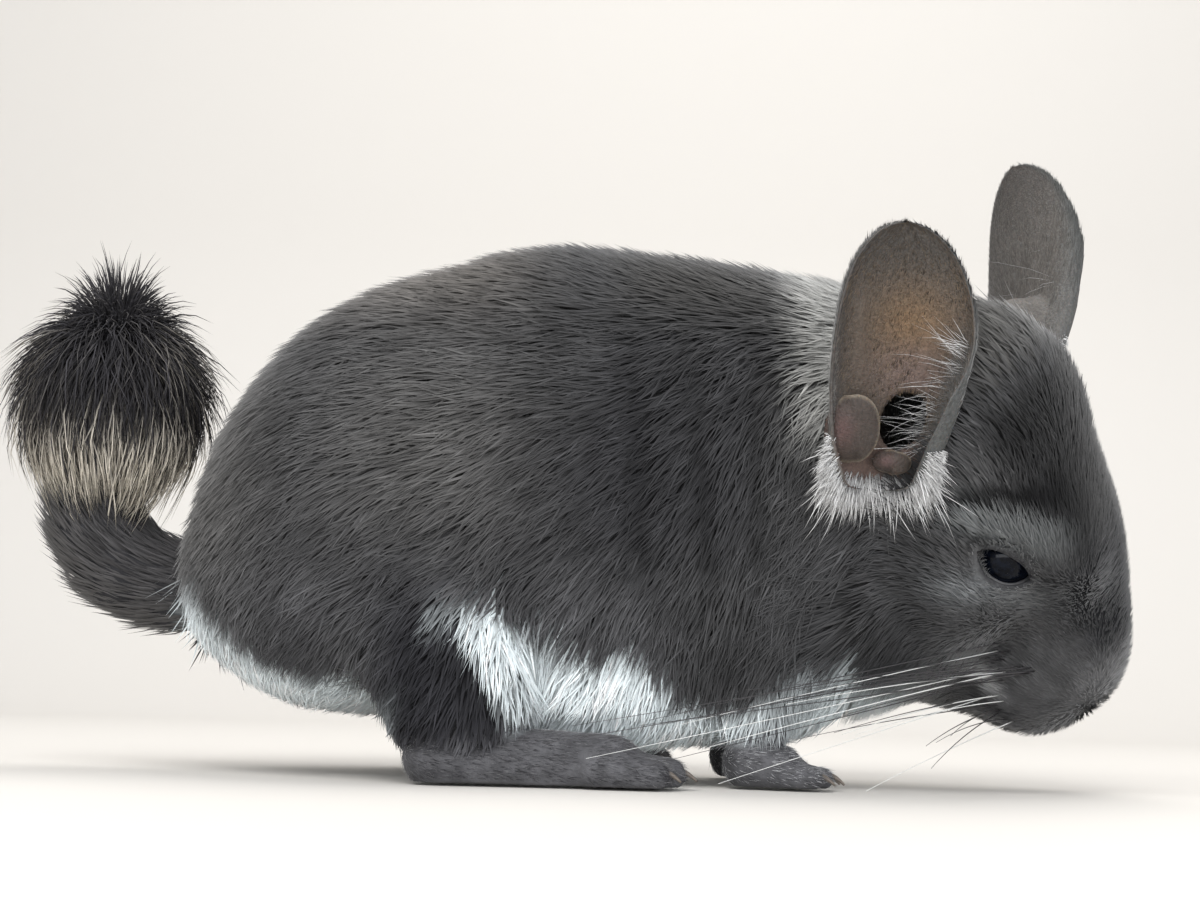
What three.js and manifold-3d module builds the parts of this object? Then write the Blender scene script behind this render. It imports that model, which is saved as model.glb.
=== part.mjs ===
// A life-size chinchilla, crouched on its four feet with the head lowered and tilted and the tail curled up.
// Millimetres, +Z up, +X towards the nose, +Y the animal's left. The surface is that of the coat.
import * as THREE from "three";
import { mergeVertices } from "three/addons/utils/BufferGeometryUtils.js";
import Module from "manifold-3d";

const wasm = await Module();
wasm.setup();

// ---------------------------------------------------------------- driving dimensions
const GAP = 0.34; // thin cut between neighbouring parts
const FLOOR_Z = 0; // soles and paws stand on this level
const HEAD = { at: [94.8, -14, 58.8], yaw: -9, pitch: 50, roll: 38, scale: 1.12 }; // between the eyes; nose-down pitch, right side rolled down
const EYE_RADIUS = 7.4;
const EYE_SEAT = [0, 14.8, 0.4]; // eyeball centre, head axes, before scaling
const EAR_LENGTH = 64;
const EAR_HALF_WIDTH = 14.9;
const EAR_THICK = 1.5;
const NECK_BACK = { x: 36, tilt: -6 }; // plane between trunk and neck
const NECK_FRONT = { x: 55, tilt: -6 }; // plane between neck and head
const WHISKER_RADIUS = 0.3;
const CELL = { trunk: 10.6, neck: 9.4, head: 6.9, muzzle: 5.4, leg: 7.4, foot: 4.1, tail: 7.8 };

// ---------------------------------------------------------------- masses of the body
// Each mass is an ellipsoid or a tapered limb, melted into the ones before it over a distance of blend.
// E: centre, half sizes, [yaw, pitch] in degrees.  C: ends a and b, radii at a and b.
const E = (at, half, blend, yaw = 0, pitch = 0) => ({ kind: 0, at, half, blend, yaw, pitch });
const C = (a, b, ra, rb, blend) => ({ kind: 1, a, b, ra, rb, blend });
const mirror = (list) => list.map((m) => m.kind ? { ...m, a: [m.a[0], -m.a[1], m.a[2]], b: [m.b[0], -m.b[1], m.b[2]] } : { ...m, at: [m.at[0], -m.at[1], m.at[2]], yaw: -m.yaw });

const TRUNK = [
  E([-47, 0, 57], [47.3, 48, 43], 10),
  E([-8, 0, 78.5], [53.7, 43, 47], 20, 0, 0),
  E([-2, 0, 47], [50, 42, 38], 16),
  E([-42, 0, 74], [41.2, 43, 39.8], 12, 0, -20),
  E([-63, 0, 43], [34, 38, 26], 10),
  E([30, -1, 73.5], [41.7, 38, 47.5], 16, 0, 4),
  E([36, 0, 40], [28, 30, 32], 14),
  E([1, 14, 23], [33, 21, 16], 10),
  E([1, -14, 23], [33, 21, 16], 10),
];
const NECK = [
  E([58, -5, 79.7], [33.6, 33, 35], 20, 0, 12),
  E([60, -6, 50], [28, 29, 34], 18),
  C([88, 1, 84], [99, 12, 99], 13, 8, 10), // root of the far ear
];
// head axes: x forward along the snout, y left, z up out of the crown
const HEAD_MASSES = [
  E([-12, 0, 4], [28, 23, 19], 12),
  E([-26, 0, 8], [22, 24, 23], 12),
  E([-3, 0, 7.7], [20, 18, 11], 10),
  E([13.2, 0, -3.4], [23.5, 15, 16.4], 10, 0, 4),
  E([27, 0, -7], [10.9, 8.5, 7.4], 8),
  E([26.5, 6.5, -13.7], [11.5, 10.0, 12.9], 7),
  E([26.5, -6.5, -13.7], [11.5, 10.0, 12.9], 7),
  E([14.4, 0, -26.2], [14.1, 11, 11.1], 8),
  E([-9.6, 15, -13.2], [21, 12.8, 14], 10),
  E([-9.6, -15, -13.2], [21, 12.8, 14], 10),
  E([-8, 0, -20], [20, 16, 13], 10),
  E([0.2, 12.5, 9.9], [13, 6.9, 6.3], 8),
  E([0.2, -12.5, 9.9], [13, 6.9, 6.3], 8),
];
const HINDLEG_R = [
  E([-34, -35, 30], [18, 17.5, 27], 10, 0, -22),
  E([-29, -39, 19], [15, 11, 16], 8, 0, 0),
];
const HINDFOOT_R = [
  C([-33, -39, 5.8], [4, -38, 4.9], 7.6, 6.7, 4),
  C([2, -42.5, 3.8], [13, -43.6, 3.0], 4.6, 3.8, 3),
  C([3, -38, 4.2], [16.5, -38, 3.1], 4.8, 3.9, 3),
  C([2, -33.5, 3.8], [14, -32.4, 3.0], 4.6, 3.8, 3),
];
const FORELEG_R = [
  C([42, -20, 34], [37, -23, 13], 11.5, 8, 8),
];
const FOREPAW_R = [
  C([35, -23.5, 5.6], [41, -24, 4.4], 6.8, 5.8, 3),
  C([40, -28, 3.4], [48, -29.6, 2.6], 3.3, 2.8, 2.4),
  C([41, -25.2, 3.6], [50.5, -25.9, 2.6], 3.3, 2.8, 2.4),
  C([41, -22, 3.6], [50, -21.9, 2.6], 3.3, 2.8, 2.4),
  C([40, -19.4, 3.4], [47, -18.2, 2.6], 3.2, 2.7, 2.4),
];
const TAIL_BASE = [C([-90, 0, 41], [-110, -1, 46], 10, 12.5, 8)];
const TAIL_MIDDLE = [C([-110, -1, 46], [-117, -2, 63], 12.5, 14, 8)];
const TAIL_TIP = [E([-114, -7, 88], [22.5, 18, 30], 12), E([-115, -2, 70], [19, 15, 16], 10)];

// ---------------------------------------------------------------- small mathematics
const rad = THREE.MathUtils.degToRad;
const V = (p) => new THREE.Vector3(...p);
const smoothMin = (a, b, k) => { const h = Math.max(k - Math.abs(a - b), 0) / k; return Math.min(a, b) - h * h * k * 0.25; };
const headMatrix = new THREE.Matrix4().makeTranslation(...HEAD.at)
  .multiply(new THREE.Matrix4().makeRotationZ(rad(-HEAD.yaw)))
  .multiply(new THREE.Matrix4().makeRotationY(rad(HEAD.pitch)))
  .multiply(new THREE.Matrix4().makeRotationX(rad(HEAD.roll)))
  .multiply(new THREE.Matrix4().makeScale(HEAD.scale, HEAD.scale, HEAD.scale));
const headPoint = (x, y, z) => new THREE.Vector3(x, y, z).applyMatrix4(headMatrix);
const headDir = (x, y, z) => new THREE.Vector3(x, y, z).transformDirection(headMatrix);

function massField(m, matrix) {
  if (m.kind) {
    const a = V(m.a), b = V(m.b), ba = b.clone().sub(a), l2 = ba.lengthSq();
    return (x, y, z) => {
      const px = x - a.x, py = y - a.y, pz = z - a.z;
      const t = Math.min(1, Math.max(0, (px * ba.x + py * ba.y + pz * ba.z) / l2));
      return Math.hypot(px - ba.x * t, py - ba.y * t, pz - ba.z * t) - (m.ra + (m.rb - m.ra) * t);
    };
  }
  const place = new THREE.Matrix4().makeTranslation(...m.at)
    .multiply(new THREE.Matrix4().makeRotationZ(rad(m.yaw))).multiply(new THREE.Matrix4().makeRotationY(rad(m.pitch)));
  if (matrix) place.premultiply(matrix);
  const scale = matrix ? HEAD.scale : 1, e = place.invert().elements;
  const [rx, ry, rz] = m.half;
  return (x, y, z) => {
    const u = (e[0] * x + e[4] * y + e[8] * z + e[12]) / rx, v = (e[1] * x + e[5] * y + e[9] * z + e[13]) / ry, w = (e[2] * x + e[6] * y + e[10] * z + e[14]) / rz;
    const k0 = Math.hypot(u, v, w), k1 = Math.hypot(u / rx, v / ry, w / rz);
    return k1 < 1e-9 ? -Math.min(rx, ry, rz) * scale : scale * k0 * (k0 - 1) / k1;
  };
}
// The union of a list of masses as one signed distance.
function field(list, matrix) {
  const parts = list.map((m) => [massField(m, matrix), m.blend * (matrix ? HEAD.scale : 1)]);
  return (x, y, z) => { let d = 1e3; for (const [f, k] of parts) d = smoothMin(d, f(x, y, z), k); return d; };
}
const join = (...pairs) => (x, y, z) => { let d = 1e3; for (const [f, k] of pairs) d = smoothMin(d, f(x, y, z), k); return d; };
const above = (f) => (x, y, z) => Math.max(f(x, y, z), FLOOR_Z - z);

const trunkF = field(TRUNK), neckF = field(NECK), headF = field(HEAD_MASSES, headMatrix);
const legs = { right: [HINDLEG_R, HINDFOOT_R, FORELEG_R, FOREPAW_R], left: [HINDLEG_R, HINDFOOT_R, FORELEG_R, FOREPAW_R].map(mirror) };
const legF = Object.fromEntries(Object.entries(legs).map(([side, l]) => [side, l.map((m) => field(m))]));
const tailBaseF = field(TAIL_BASE), tailMiddleF = field(TAIL_MIDDLE), tailTipF = field(TAIL_TIP);
const body = above(join([trunkF, 10], [neckF, 16], [headF, 12],
  [legF.right[0], 9], [legF.left[0], 9], [legF.right[2], 7], [legF.left[2], 7]));

// ---------------------------------------------------------------- surfaces
// A closed mesh of the level surface of a field inside a box: one vertex in each crossed cell, pulled onto the surface.
// Where two sheets meet in one cell the mesh pinches, so the grid is shifted a little until it doesn't.
function skinOf(f, low, high, step, offset = 0) {
  for (let shift = 0; ; shift++) {
    try {
      return netOf(f, low.map((v, i) => v - step * ((shift * SHIFTS[i]) % 1)), high, step, offset);
    } catch (e) {
      if (shift > 24) throw new Error("pinched surface near " + low + " step " + step + " offset " + offset);
    }
  }
}
const SHIFTS = [0.37, 0.61, 0.23];
function netOf(f, low, high, step, offset) {
  const n = [0, 1, 2].map((i) => Math.ceil((high[i] - low[i]) / step) + 3);
  const o = low.map((v) => v - step);
  const at = (i, j, k) => i + n[0] * (j + n[1] * k);
  const d = new Float64Array(n[0] * n[1] * n[2]);
  for (let k = 0; k < n[2]; k++) for (let j = 0; j < n[1]; j++) for (let i = 0; i < n[0]; i++) {
    const edge = i === 0 || j === 0 || k === 0 || i === n[0] - 1 || j === n[1] - 1 || k === n[2] - 1;
    d[at(i, j, k)] = edge ? Math.max(0.3, f(o[0] + i * step, o[1] + j * step, o[2] + k * step) - offset) : f(o[0] + i * step, o[1] + j * step, o[2] + k * step) - offset;
  }
  // One vertex for each separate piece of surface in a cell: edges that a cell face joins belong to one piece.
  const cell = new Map(), pos = [], idx = [];
  const find = (root, v) => { while (root[v] !== v) v = root[v]; return v; };
  for (let k = 0; k < n[2] - 1; k++) for (let j = 0; j < n[1] - 1; j++) for (let i = 0; i < n[0] - 1; i++) {
    const corner = [], crossed = [];
    for (let q = 0; q < 8; q++) corner.push(d[at(i + (q & 1), j + ((q >> 1) & 1), k + (q >> 2))]);
    EDGES.forEach(([p, q], e) => { if ((corner[p] < 0) !== (corner[q] < 0)) crossed.push(e); });
    if (!crossed.length) continue;
    const root = EDGES.map((_, e) => e);
    for (const face of FACES) {
      const hit = face.edges.filter((e) => crossed.includes(e));
      if (hit.length === 2) root[find(root, hit[0])] = find(root, hit[1]);
      else if (hit.length === 4) for (const v of face.corners) if (corner[v] < 0) {
        const own = face.edges.filter((e) => EDGES[e][0] === v || EDGES[e][1] === v);
        root[find(root, own[0])] = find(root, own[1]);
      }
    }
    const pieces = new Map();
    for (const e of crossed) { const r = find(root, e); if (!pieces.has(r)) pieces.set(r, []); pieces.get(r).push(e); }
    for (const list of pieces.values()) {
    let sx = 0, sy = 0, sz = 0, c = 0;
    for (const e of list) {
      const [p, q, axis] = EDGES[e], t = corner[p] / (corner[p] - corner[q]);
      sx += (p & 1) + (axis === 0 ? t : 0); sy += ((p >> 1) & 1) + (axis === 1 ? t : 0); sz += (p >> 2) + (axis === 2 ? t : 0); c++;
      cell.set(at(i, j, k) * 12 + e, pos.length / 3);
    }
    let x = o[0] + (i + sx / c) * step, y = o[1] + (j + sy / c) * step, z = o[2] + (k + sz / c) * step;
    for (let r = 0; r < 2; r++) {
      const e = 0.05, v = f(x, y, z) - offset;
      const gx = (f(x + e, y, z) - f(x - e, y, z)) / (2 * e), gy = (f(x, y + e, z) - f(x, y - e, z)) / (2 * e), gz = (f(x, y, z + e) - f(x, y, z - e)) / (2 * e);
      const g2 = gx * gx + gy * gy + gz * gz + 1e-9, m = Math.max(-0.35 * step, Math.min(0.35 * step, v / Math.sqrt(g2))) / Math.sqrt(g2);
      x -= gx * m; y -= gy * m; z -= gz * m;
    }
    pos.push(x, y, z);
    }
  }
  const quad = (a, b, c, e, flip) => {
    if ([a, b, c, e].some((v) => v === undefined)) return;
    const P = (v) => new THREE.Vector3(pos[3 * v], pos[3 * v + 1], pos[3 * v + 2]);
    const shortAC = P(a).distanceTo(P(c)) <= P(b).distanceTo(P(e));
    const t = shortAC ? [a, b, c, a, c, e] : [a, b, e, b, c, e];
    if (flip) for (let s = 0; s < 6; s += 3) [t[s + 1], t[s + 2]] = [t[s + 2], t[s + 1]];
    idx.push(...t);
  };
  for (let k = 0; k < n[2] - 1; k++) for (let j = 0; j < n[1] - 1; j++) for (let i = 0; i < n[0] - 1; i++) {
    const a = d[at(i, j, k)] < 0;
    const w = (di, dj, dk, e) => cell.get(at(i - di, j - dj, k - dk) * 12 + e);
    if (a !== d[at(i + 1, j, k)] < 0) quad(w(0, 1, 1, 3), w(0, 0, 1, 2), w(0, 0, 0, 0), w(0, 1, 0, 1), !a);
    if (a !== d[at(i, j + 1, k)] < 0) quad(w(1, 0, 1, 7), w(1, 0, 0, 5), w(0, 0, 0, 4), w(0, 0, 1, 6), !a);
    if (a !== d[at(i, j, k + 1)] < 0) quad(w(1, 1, 0, 11), w(0, 1, 0, 10), w(0, 0, 0, 8), w(1, 0, 0, 9), !a);
  }
  return new wasm.Manifold(new wasm.Mesh({ numProp: 3, vertProperties: new Float32Array(pos), triVerts: new Uint32Array(idx) }));
}
const EDGES = [[0, 1, 0], [2, 3, 0], [4, 5, 0], [6, 7, 0], [0, 2, 1], [1, 3, 1], [4, 6, 1], [5, 7, 1], [0, 4, 2], [1, 5, 2], [2, 6, 2], [3, 7, 2]];
const FACES = [[0, 1, 2, 3], [4, 5, 6, 7], [0, 1, 4, 5], [2, 3, 6, 7], [0, 2, 4, 6], [1, 3, 5, 7]]
  .map((corners) => ({ corners, edges: EDGES.map((e, i) => (corners.includes(e[0]) && corners.includes(e[1]) ? i : -1)).filter((i) => i >= 0) }));

// A three.js geometry as a closed solid.
function solid(geometry, matrix, weld = 1e-4) {
  let g = geometry.clone();
  for (const name of Object.keys(g.attributes)) if (name !== "position") g.deleteAttribute(name);
  if (matrix) g.applyMatrix4(matrix);
  g = mergeVertices(g, weld);
  const made = new wasm.Manifold(new wasm.Mesh({ numProp: 3, vertProperties: new Float32Array(g.attributes.position.array), triVerts: new Uint32Array(g.index.array) }));
  return made;
}
const largest = (s) => s.decompose().reduce((a, b) => (a.volume() > b.volume() ? a : b));
const boxSolid = (low, high, turn = 0, about = [0, 0, 0]) => {
  const g = new THREE.BoxGeometry(high[0] - low[0], high[1] - low[1], high[2] - low[2]);
  const m = new THREE.Matrix4().makeTranslation(...about).multiply(new THREE.Matrix4().makeRotationY(rad(turn)))
    .multiply(new THREE.Matrix4().makeTranslation((low[0] + high[0]) / 2 - about[0], (low[1] + high[1]) / 2 - about[1], (low[2] + high[2]) / 2 - about[2]));
  return solid(g, m);
};
function geometryOf(s) {
  const m = s.getMesh(), g = new THREE.BufferGeometry();
  const p = new Float32Array(m.numVert * 3);
  for (let i = 0; i < m.numVert; i++) p.set(m.vertProperties.subarray(i * m.numProp, i * m.numProp + 3), i * 3);
  g.setAttribute("position", new THREE.BufferAttribute(p, 3));
  g.setIndex(new THREE.BufferAttribute(new Uint32Array(m.triVerts), 1));
  g.computeVertexNormals();
  return g;
}
// Rings of points joined into one closed tube, each ring the same count, with a cap at each end.
// A ring that is a thin bent strip is capped across the strip.
function loft(rings, strip = false) {
  const m = rings[0].length, pos = rings.flat().flatMap((p) => [p.x, p.y, p.z]), idx = [];
  for (let r = 0; r < rings.length - 1; r++) for (let i = 0; i < m; i++) {
    const a = r * m + i, b = r * m + (i + 1) % m, c = a + m, e = b + m;
    idx.push(a, b, e, a, e, c);
  }
  if (strip) for (let j = 0; j < m / 2 - 1; j++) {
    const q = [j, j + 1, m - 2 - j, m - 1 - j], z = (rings.length - 1) * m;
    idx.push(q[0], q[2], q[1], q[0], q[3], q[2], z + q[0], z + q[1], z + q[2], z + q[0], z + q[2], z + q[3]);
  }
  else for (let i = 1; i < m - 1; i++) { idx.push(0, i + 1, i); const z = (rings.length - 1) * m; idx.push(z, z + i, z + i + 1); }
  const g = new THREE.BufferGeometry();
  g.setAttribute("position", new THREE.Float32BufferAttribute(pos, 3));
  g.setIndex(idx);
  return g;
}

// ---------------------------------------------------------------- cutters
const LOW = [-150, -70, -2], HIGH = [140, 70, 175];
const grown = (f, by) => (x, y, z) => f(x, y, z) - by;
const cellOf = (f, low, high, step, grow) => [skinOf(f, low, high, step, grow), skinOf(f, low, high, step, grow + GAP)];
const half = (plane, dx) => boxSolid([plane.x + dx, -200, -150], [plane.x + dx + 400, 200, 350], plane.tilt, [plane.x + dx, 0, 60]);

const ball = (at, size, grow, detail = 2) => solid(new THREE.IcosahedronGeometry(1, detail),
  new THREE.Matrix4().makeTranslation(...at).multiply(new THREE.Matrix4().makeScale(size[0] + grow, size[1] + grow, size[2] + grow)));

const parts = new Map();
const sided = (p, side) => side === "left" ? [p[0], -p[1], p[2]] : p;
const sideBox = ([lo, hi], side) => side === "left" ? [[lo[0], -hi[1], lo[2]], [hi[0], -lo[1], hi[2]]] : [lo, hi];

let torso = skinOf(body, [-110, -60, -3], [60, 60, 135], CELL.trunk).subtract(half(NECK_BACK, 0));
let neck = skinOf(body, [22, -56, -3], [84, 56, 136], CELL.neck).intersect(half(NECK_BACK, GAP)).subtract(half(NECK_FRONT, 0));
let head = skinOf(body, [40, -66, 2], [140, 50, 140], CELL.head).intersect(half(NECK_FRONT, GAP));

// legs and feet: the foot, then the leg, then what carries it
for (const side of ["right", "left"]) {
  const [, footFn, , pawFn] = legF[side];
  const [fl, fh] = sideBox([[-46, -54, -4], [30, -26, 22]], side), [ll, lh] = sideBox([[-74, -66, -4], [4, -6, 70]], side);
  const [pl, ph] = sideBox([[22, -38, -4], [60, -10, 18]], side), [al, ah] = sideBox([[18, -50, -4], [68, 4, 56]], side);
  const foot = skinOf(above(footFn), fl, fh, CELL.foot), footOut = skinOf(above(footFn), fl, fh, CELL.foot, GAP);
  const thigh = [sided([-36, -46, 26], side), [27, 24, 34]];
  const leg = largest(skinOf(body, ll, lh, CELL.leg).intersect(ball(...thigh, 0)).subtract(footOut));
  const paw = skinOf(above(pawFn), pl, ph, CELL.foot), pawOut = skinOf(above(pawFn), pl, ph, CELL.foot, GAP);
  const elbow = [sided([41, -28, 20], side), [15, 15, 22]];
  const arm = largest(skinOf(body, al, ah, CELL.leg).intersect(ball(...elbow, 0)).subtract(pawOut));
  torso = torso.subtract(ball(...thigh, GAP)).subtract(footOut).subtract(ball(...elbow, GAP)).subtract(pawOut);
  neck = neck.subtract(ball(...elbow, GAP)).subtract(pawOut);
  parts.set("hindleg_" + side, leg); parts.set("hindfoot_" + side, foot);
  parts.set("foreleg_" + side, arm); parts.set("forepaw_" + side, paw);
}

// tail in three lengths
{
  const lo = [-148, -34, 20], hi = [-76, 24, 128];
  const tip = skinOf(tailTipF, lo, hi, CELL.tail), tipOut = skinOf(tailTipF, lo, hi, CELL.tail, GAP);
  const tail = skinOf(join([tailBaseF, 8], [tailMiddleF, 7]), lo, hi, CELL.tail * 0.85);
  const tailOut = skinOf(join([tailBaseF, 8], [tailMiddleF, 7]), lo, hi, CELL.tail * 0.85, GAP);
  const root = ball([-80, 0, 40], [17.5, 30, 30], 0), rootOut = ball([-80, 0, 40], [17.5, 30, 30], GAP);
  const knee = boxSolid([-200, -80, 0], [-108, 80, 200]), kneeOut = boxSolid([-200, -80, 0], [-108 + GAP, 80, 200]);
  parts.set("tail_base", largest(tail.subtract(root).subtract(kneeOut).subtract(tipOut)));
  parts.set("tail_middle", largest(tail.intersect(knee).subtract(tipOut)));
  parts.set("tail_tip", tip);
  torso = torso.subtract(tailOut.subtract(root)).subtract(tipOut);
}
parts.set("trunk", largest(torso));
parts.set("neck", largest(neck));

// eyes in their sockets
for (const [side, s] of [["right", -1], ["left", 1]]) {
  const at = headPoint(EYE_SEAT[0], s * EYE_SEAT[1], EYE_SEAT[2]);
  const move = new THREE.Matrix4().makeTranslation(at.x, at.y, at.z);
  const globe = new THREE.SphereGeometry(EYE_RADIUS, 16, 10), socket = new THREE.SphereGeometry(EYE_RADIUS + GAP + 0.3, 16, 10);
  const out = headPoint(EYE_SEAT[0], s * (EYE_SEAT[1] + 8.2), EYE_SEAT[2]);
  head = head.subtract(solid(socket, move)).subtract(solid(new THREE.SphereGeometry(EYE_RADIUS - 0.4, 14, 9), new THREE.Matrix4().makeTranslation(out.x, out.y, out.z)));
  parts.set("eye_" + side, solid(globe, move));
}
head = largest(head);

// muzzle: nose pad, lips and whisker pads
{
  const centre = headPoint(28, 0, -12);
  const cell = (grow) => solid(new THREE.IcosahedronGeometry(1, 2), new THREE.Matrix4().makeTranslation(centre.x, centre.y, centre.z)
    .multiply(new THREE.Matrix4().extractRotation(headMatrix)).multiply(new THREE.Matrix4().makeScale(17 + grow, 26 + grow, 24 + grow)));
  const fine = skinOf(body, [70, -60, 2], [140, 40, 80], CELL.muzzle);
  parts.set("muzzle", largest(fine.intersect(cell(0))));
  head = largest(head.subtract(cell(GAP)));
}
parts.set("head", head);

// ears: cupped shells on the sides of the crown
const EARS = {
  right: { foot: [59, -40, 69], tip: [63, -57.5, 119.5], open: [0.22, -0.97, 0], roll: 1 },
  left: { foot: [99.5, 12, 100], tip: [104.7, 31, 156.5], open: [0.86, 0.5, -0.2], roll: -1 },
};
// Along the ear: how far each margin is turned over, and the radius of that turn.
const EAR_AT = [0, 0.15, 0.35, 0.5, 0.65, 0.8, 1];
const FRONT_TURN = [3.0, 3.0, 2.75, 2.1, 1.5, 1.05, 0.7], FRONT_CURL = [5.0, 6.4, 6.0, 5.0, 4.2, 3.6, 3.0];
const REAR_TURN = [2.5, 1.75, 1.3, 1.1, 0.98, 0.85, 0.7], REAR_CURL = [5.5, 6.0, 6.0, 6.0, 5.5, 5.0, 4.0];
const along1 = (x, ys) => { let k = 0; while (k < EAR_AT.length - 2 && x > EAR_AT[k + 1]) k++; const t = Math.min(1, Math.max(0, (x - EAR_AT[k]) / (EAR_AT[k + 1] - EAR_AT[k]))); return ys[k] + (ys[k + 1] - ys[k]) * t; };
const ramp = (x, a, b) => { const t = Math.min(1, Math.max(0, (x - a) / (b - a))); return t * t * (3 - 2 * t); };
for (const [side, e] of Object.entries(EARS)) {
  const foot = V(e.foot), along = V(e.tip).sub(foot), length = along.length();
  along.normalize();
  const open = V(e.open).addScaledVector(along, -V(e.open).dot(along)).normalize();
  const front = new THREE.Vector3().crossVectors(along, open).multiplyScalar(e.roll).normalize(); // towards the front rim
  const NU = 12, NV = 10;
  // a from the bottom of the bowl (below 0) to the tip, v from the rear rim (-1) to the front rim (1)
  const earPoint = (a, v, offset) => {
    const b = Math.max(a, 0), m = Math.abs(v);
    const w = EAR_HALF_WIDTH * (b < 0.55 ? 0.72 + 0.28 * Math.sin((b / 0.55) * Math.PI / 2) : Math.sqrt(Math.max(0.03, 1 - ((b - 0.55) / 0.45) ** 2.3)));
    const turn = along1(b, v > 0 ? FRONT_TURN : REAR_TURN);
    const curl = Math.max(Math.min(along1(b, v > 0 ? FRONT_CURL : REAR_CURL), 0.45 * w), 1.1);
    const first = 0.5 - 0.12 * b, reach = turn < Math.PI / 2 ? Math.sin(turn) : 1;
    const R = curl + Math.max(w - curl * reach, 0.2) / Math.sin(first);
    const main = m <= 0.62, angle = main ? first * m / 0.62 : first + (turn - first) * (m - 0.62) / 0.38;
    let x = main ? (R - offset) * Math.sin(angle) : (R - curl) * Math.sin(first) + (curl - offset) * Math.sin(angle);
    let y = main ? R - (R - offset) * Math.cos(angle) : R - (R - curl) * Math.cos(first) - (curl - offset) * Math.cos(angle);
    const flat = 0.62 + 0.38 * ramp(b, 0.35, 0.75), close = Math.sqrt(Math.max(1 - (Math.min(a, 0) / 0.0735) ** 2, 0.02));
    x *= (v > 0 ? 1 : -1) * close;
    y = y * flat * close + 3 * Math.sin(Math.PI * b);
    return foot.clone().addScaledVector(along, a * length).addScaledVector(front, x).addScaledVector(open, y);
  };
  const sheet = (offset) => {
    const rows = [];
    for (let i = 0; i <= NU; i++) {
      const u = i / NU, a = (u < 0.5 ? u : 0.5 + 0.5 * Math.sin((u - 0.5) * Math.PI) * 0.992) * 1.06 - 0.06;
      rows.push(Array.from({ length: NV + 1 }, (_, j) => earPoint(a, -1 + 2 * j / NV, offset)));
    }
    return rows;
  };
  const inner = sheet(EAR_THICK / 2), outer = sheet(-EAR_THICK / 2);
  const rings = inner.map((row, i) => [...row, ...outer[i].slice().reverse()]);
  let shell = solid(loft(rings, true));
  if (shell.volume() < 0) { rings.forEach((r) => r.reverse()); shell = solid(loft(rings, true)); }
  // The base ends a little above the fur it stands in, where the cut leaves one clean piece.
  for (const lift of [0, 0.12, 0.26, 0.4, 0.55, 0.7, 0.9]) {
    const cut = largest(shell.subtract(skinOf(body, [40, -66, 2], [140, 50, 140], CELL.head, GAP + lift)));
    if (solid(geometryOf(cut), undefined, 2e-3).decompose().length === 1) { parts.set("ear_" + side, cut); break; }
  }
  if (!parts.has("ear_" + side)) throw new Error("no clean ear " + side);
}

// whiskers: stiff tapered hairs from the pads, swept back and down, all above the floor
{
  const roots = [[19.5, 15.8, -11.5], [22, 15.8, -16], [25.5, 15.1, -19.5], [30, 13.3, -21], [24.5, 15.3, -9]];
  const ends = { right: [[-18, -62, 9], [4, -72, 8], [26, -80, 7], [50, -84, 6], [2, -66, 22]], left: [[20, 54, 30], [40, 66, 24], [66, 74, 18], [92, 78, 16], [34, 62, 44]] };
  for (const [side, s] of [["right", -1], ["left", 1]]) roots.forEach((r, i) => {
    let a = headPoint(r[0], s * r[1], r[2]);
    const out = headDir(0.1, s * 0.95, -0.3);
    let guard = 0;
    while (body(a.x, a.y, a.z) < WHISKER_RADIUS + 0.25 && guard++ < 400) a.addScaledVector(out, 0.1);
    const b = V(ends[side][i]);
    const mid = a.clone().lerp(b, 0.42).addScaledVector(out, 9).add(new THREE.Vector3(0, 0, 4));
    const curve = new THREE.QuadraticBezierCurve3(a, mid, b);
    const rings = [];
    for (let k = 0; k <= 7; k++) {
      const p = curve.getPoint(k / 7), t = curve.getTangent(k / 7), n1 = new THREE.Vector3(0, 0, 1).cross(t).normalize(), n2 = t.clone().cross(n1);
      const r = WHISKER_RADIUS * (1 - 0.12 * k / 7), ring = [];
      for (let q = 0; q < 4; q++) ring.push(p.clone().addScaledVector(n1, r * Math.cos(q * Math.PI / 2)).addScaledVector(n2, r * Math.sin(q * Math.PI / 2)));
      rings.push(ring);
    }
    let w = solid(loft(rings));
    if (w.volume() < 0) { rings.forEach((x) => x.reverse()); w = solid(loft(rings)); }
    parts.set(`whisker_${side}_${i + 1}`, w);
  });
}

// ---------------------------------------------------------------- origin under the middle of the whole
const box = new THREE.Box3();
for (const s of parts.values()) { const b = s.boundingBox(); box.expandByPoint(V(b.min)); box.expandByPoint(V(b.max)); }
const origin = new THREE.Vector3((box.min.x + box.max.x) / 2, (box.min.y + box.max.y) / 2, FLOOR_Z);

const finish = (color, roughness, metalness = 0) => new THREE.MeshStandardMaterial({ color, roughness, metalness });
const COAT = finish(0x54534f, 0.9), DARK = finish(0x3a3a3d, 0.9), FACE = finish(0x474749, 0.85), EAR = finish(0x6e5d4b, 0.7), FOOT = finish(0x505255, 0.75), BRUSH = finish(0x33333a, 0.9), EYE = finish(0x0a0c10, 0.08), WHISKER = finish(0xd8d8d4, 0.4);
const look = (name) => name.startsWith("ear") ? EAR : name.startsWith("eye") ? EYE : name.startsWith("whisker") ? WHISKER : /foot|paw/.test(name) ? FOOT : name.startsWith("tail") ? BRUSH : name.startsWith("hindleg") ? DARK : /head|muzzle/.test(name) ? FACE : COAT;

const group = new THREE.Group();
group.name = "chinchilla";
for (const [name, s] of parts) {
  const mesh = new THREE.Mesh(geometryOf(s), look(name));
  mesh.name = name;
  mesh.position.set(-origin.x, -origin.y, -origin.z);
  group.add(mesh);
}
export default group;
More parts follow.
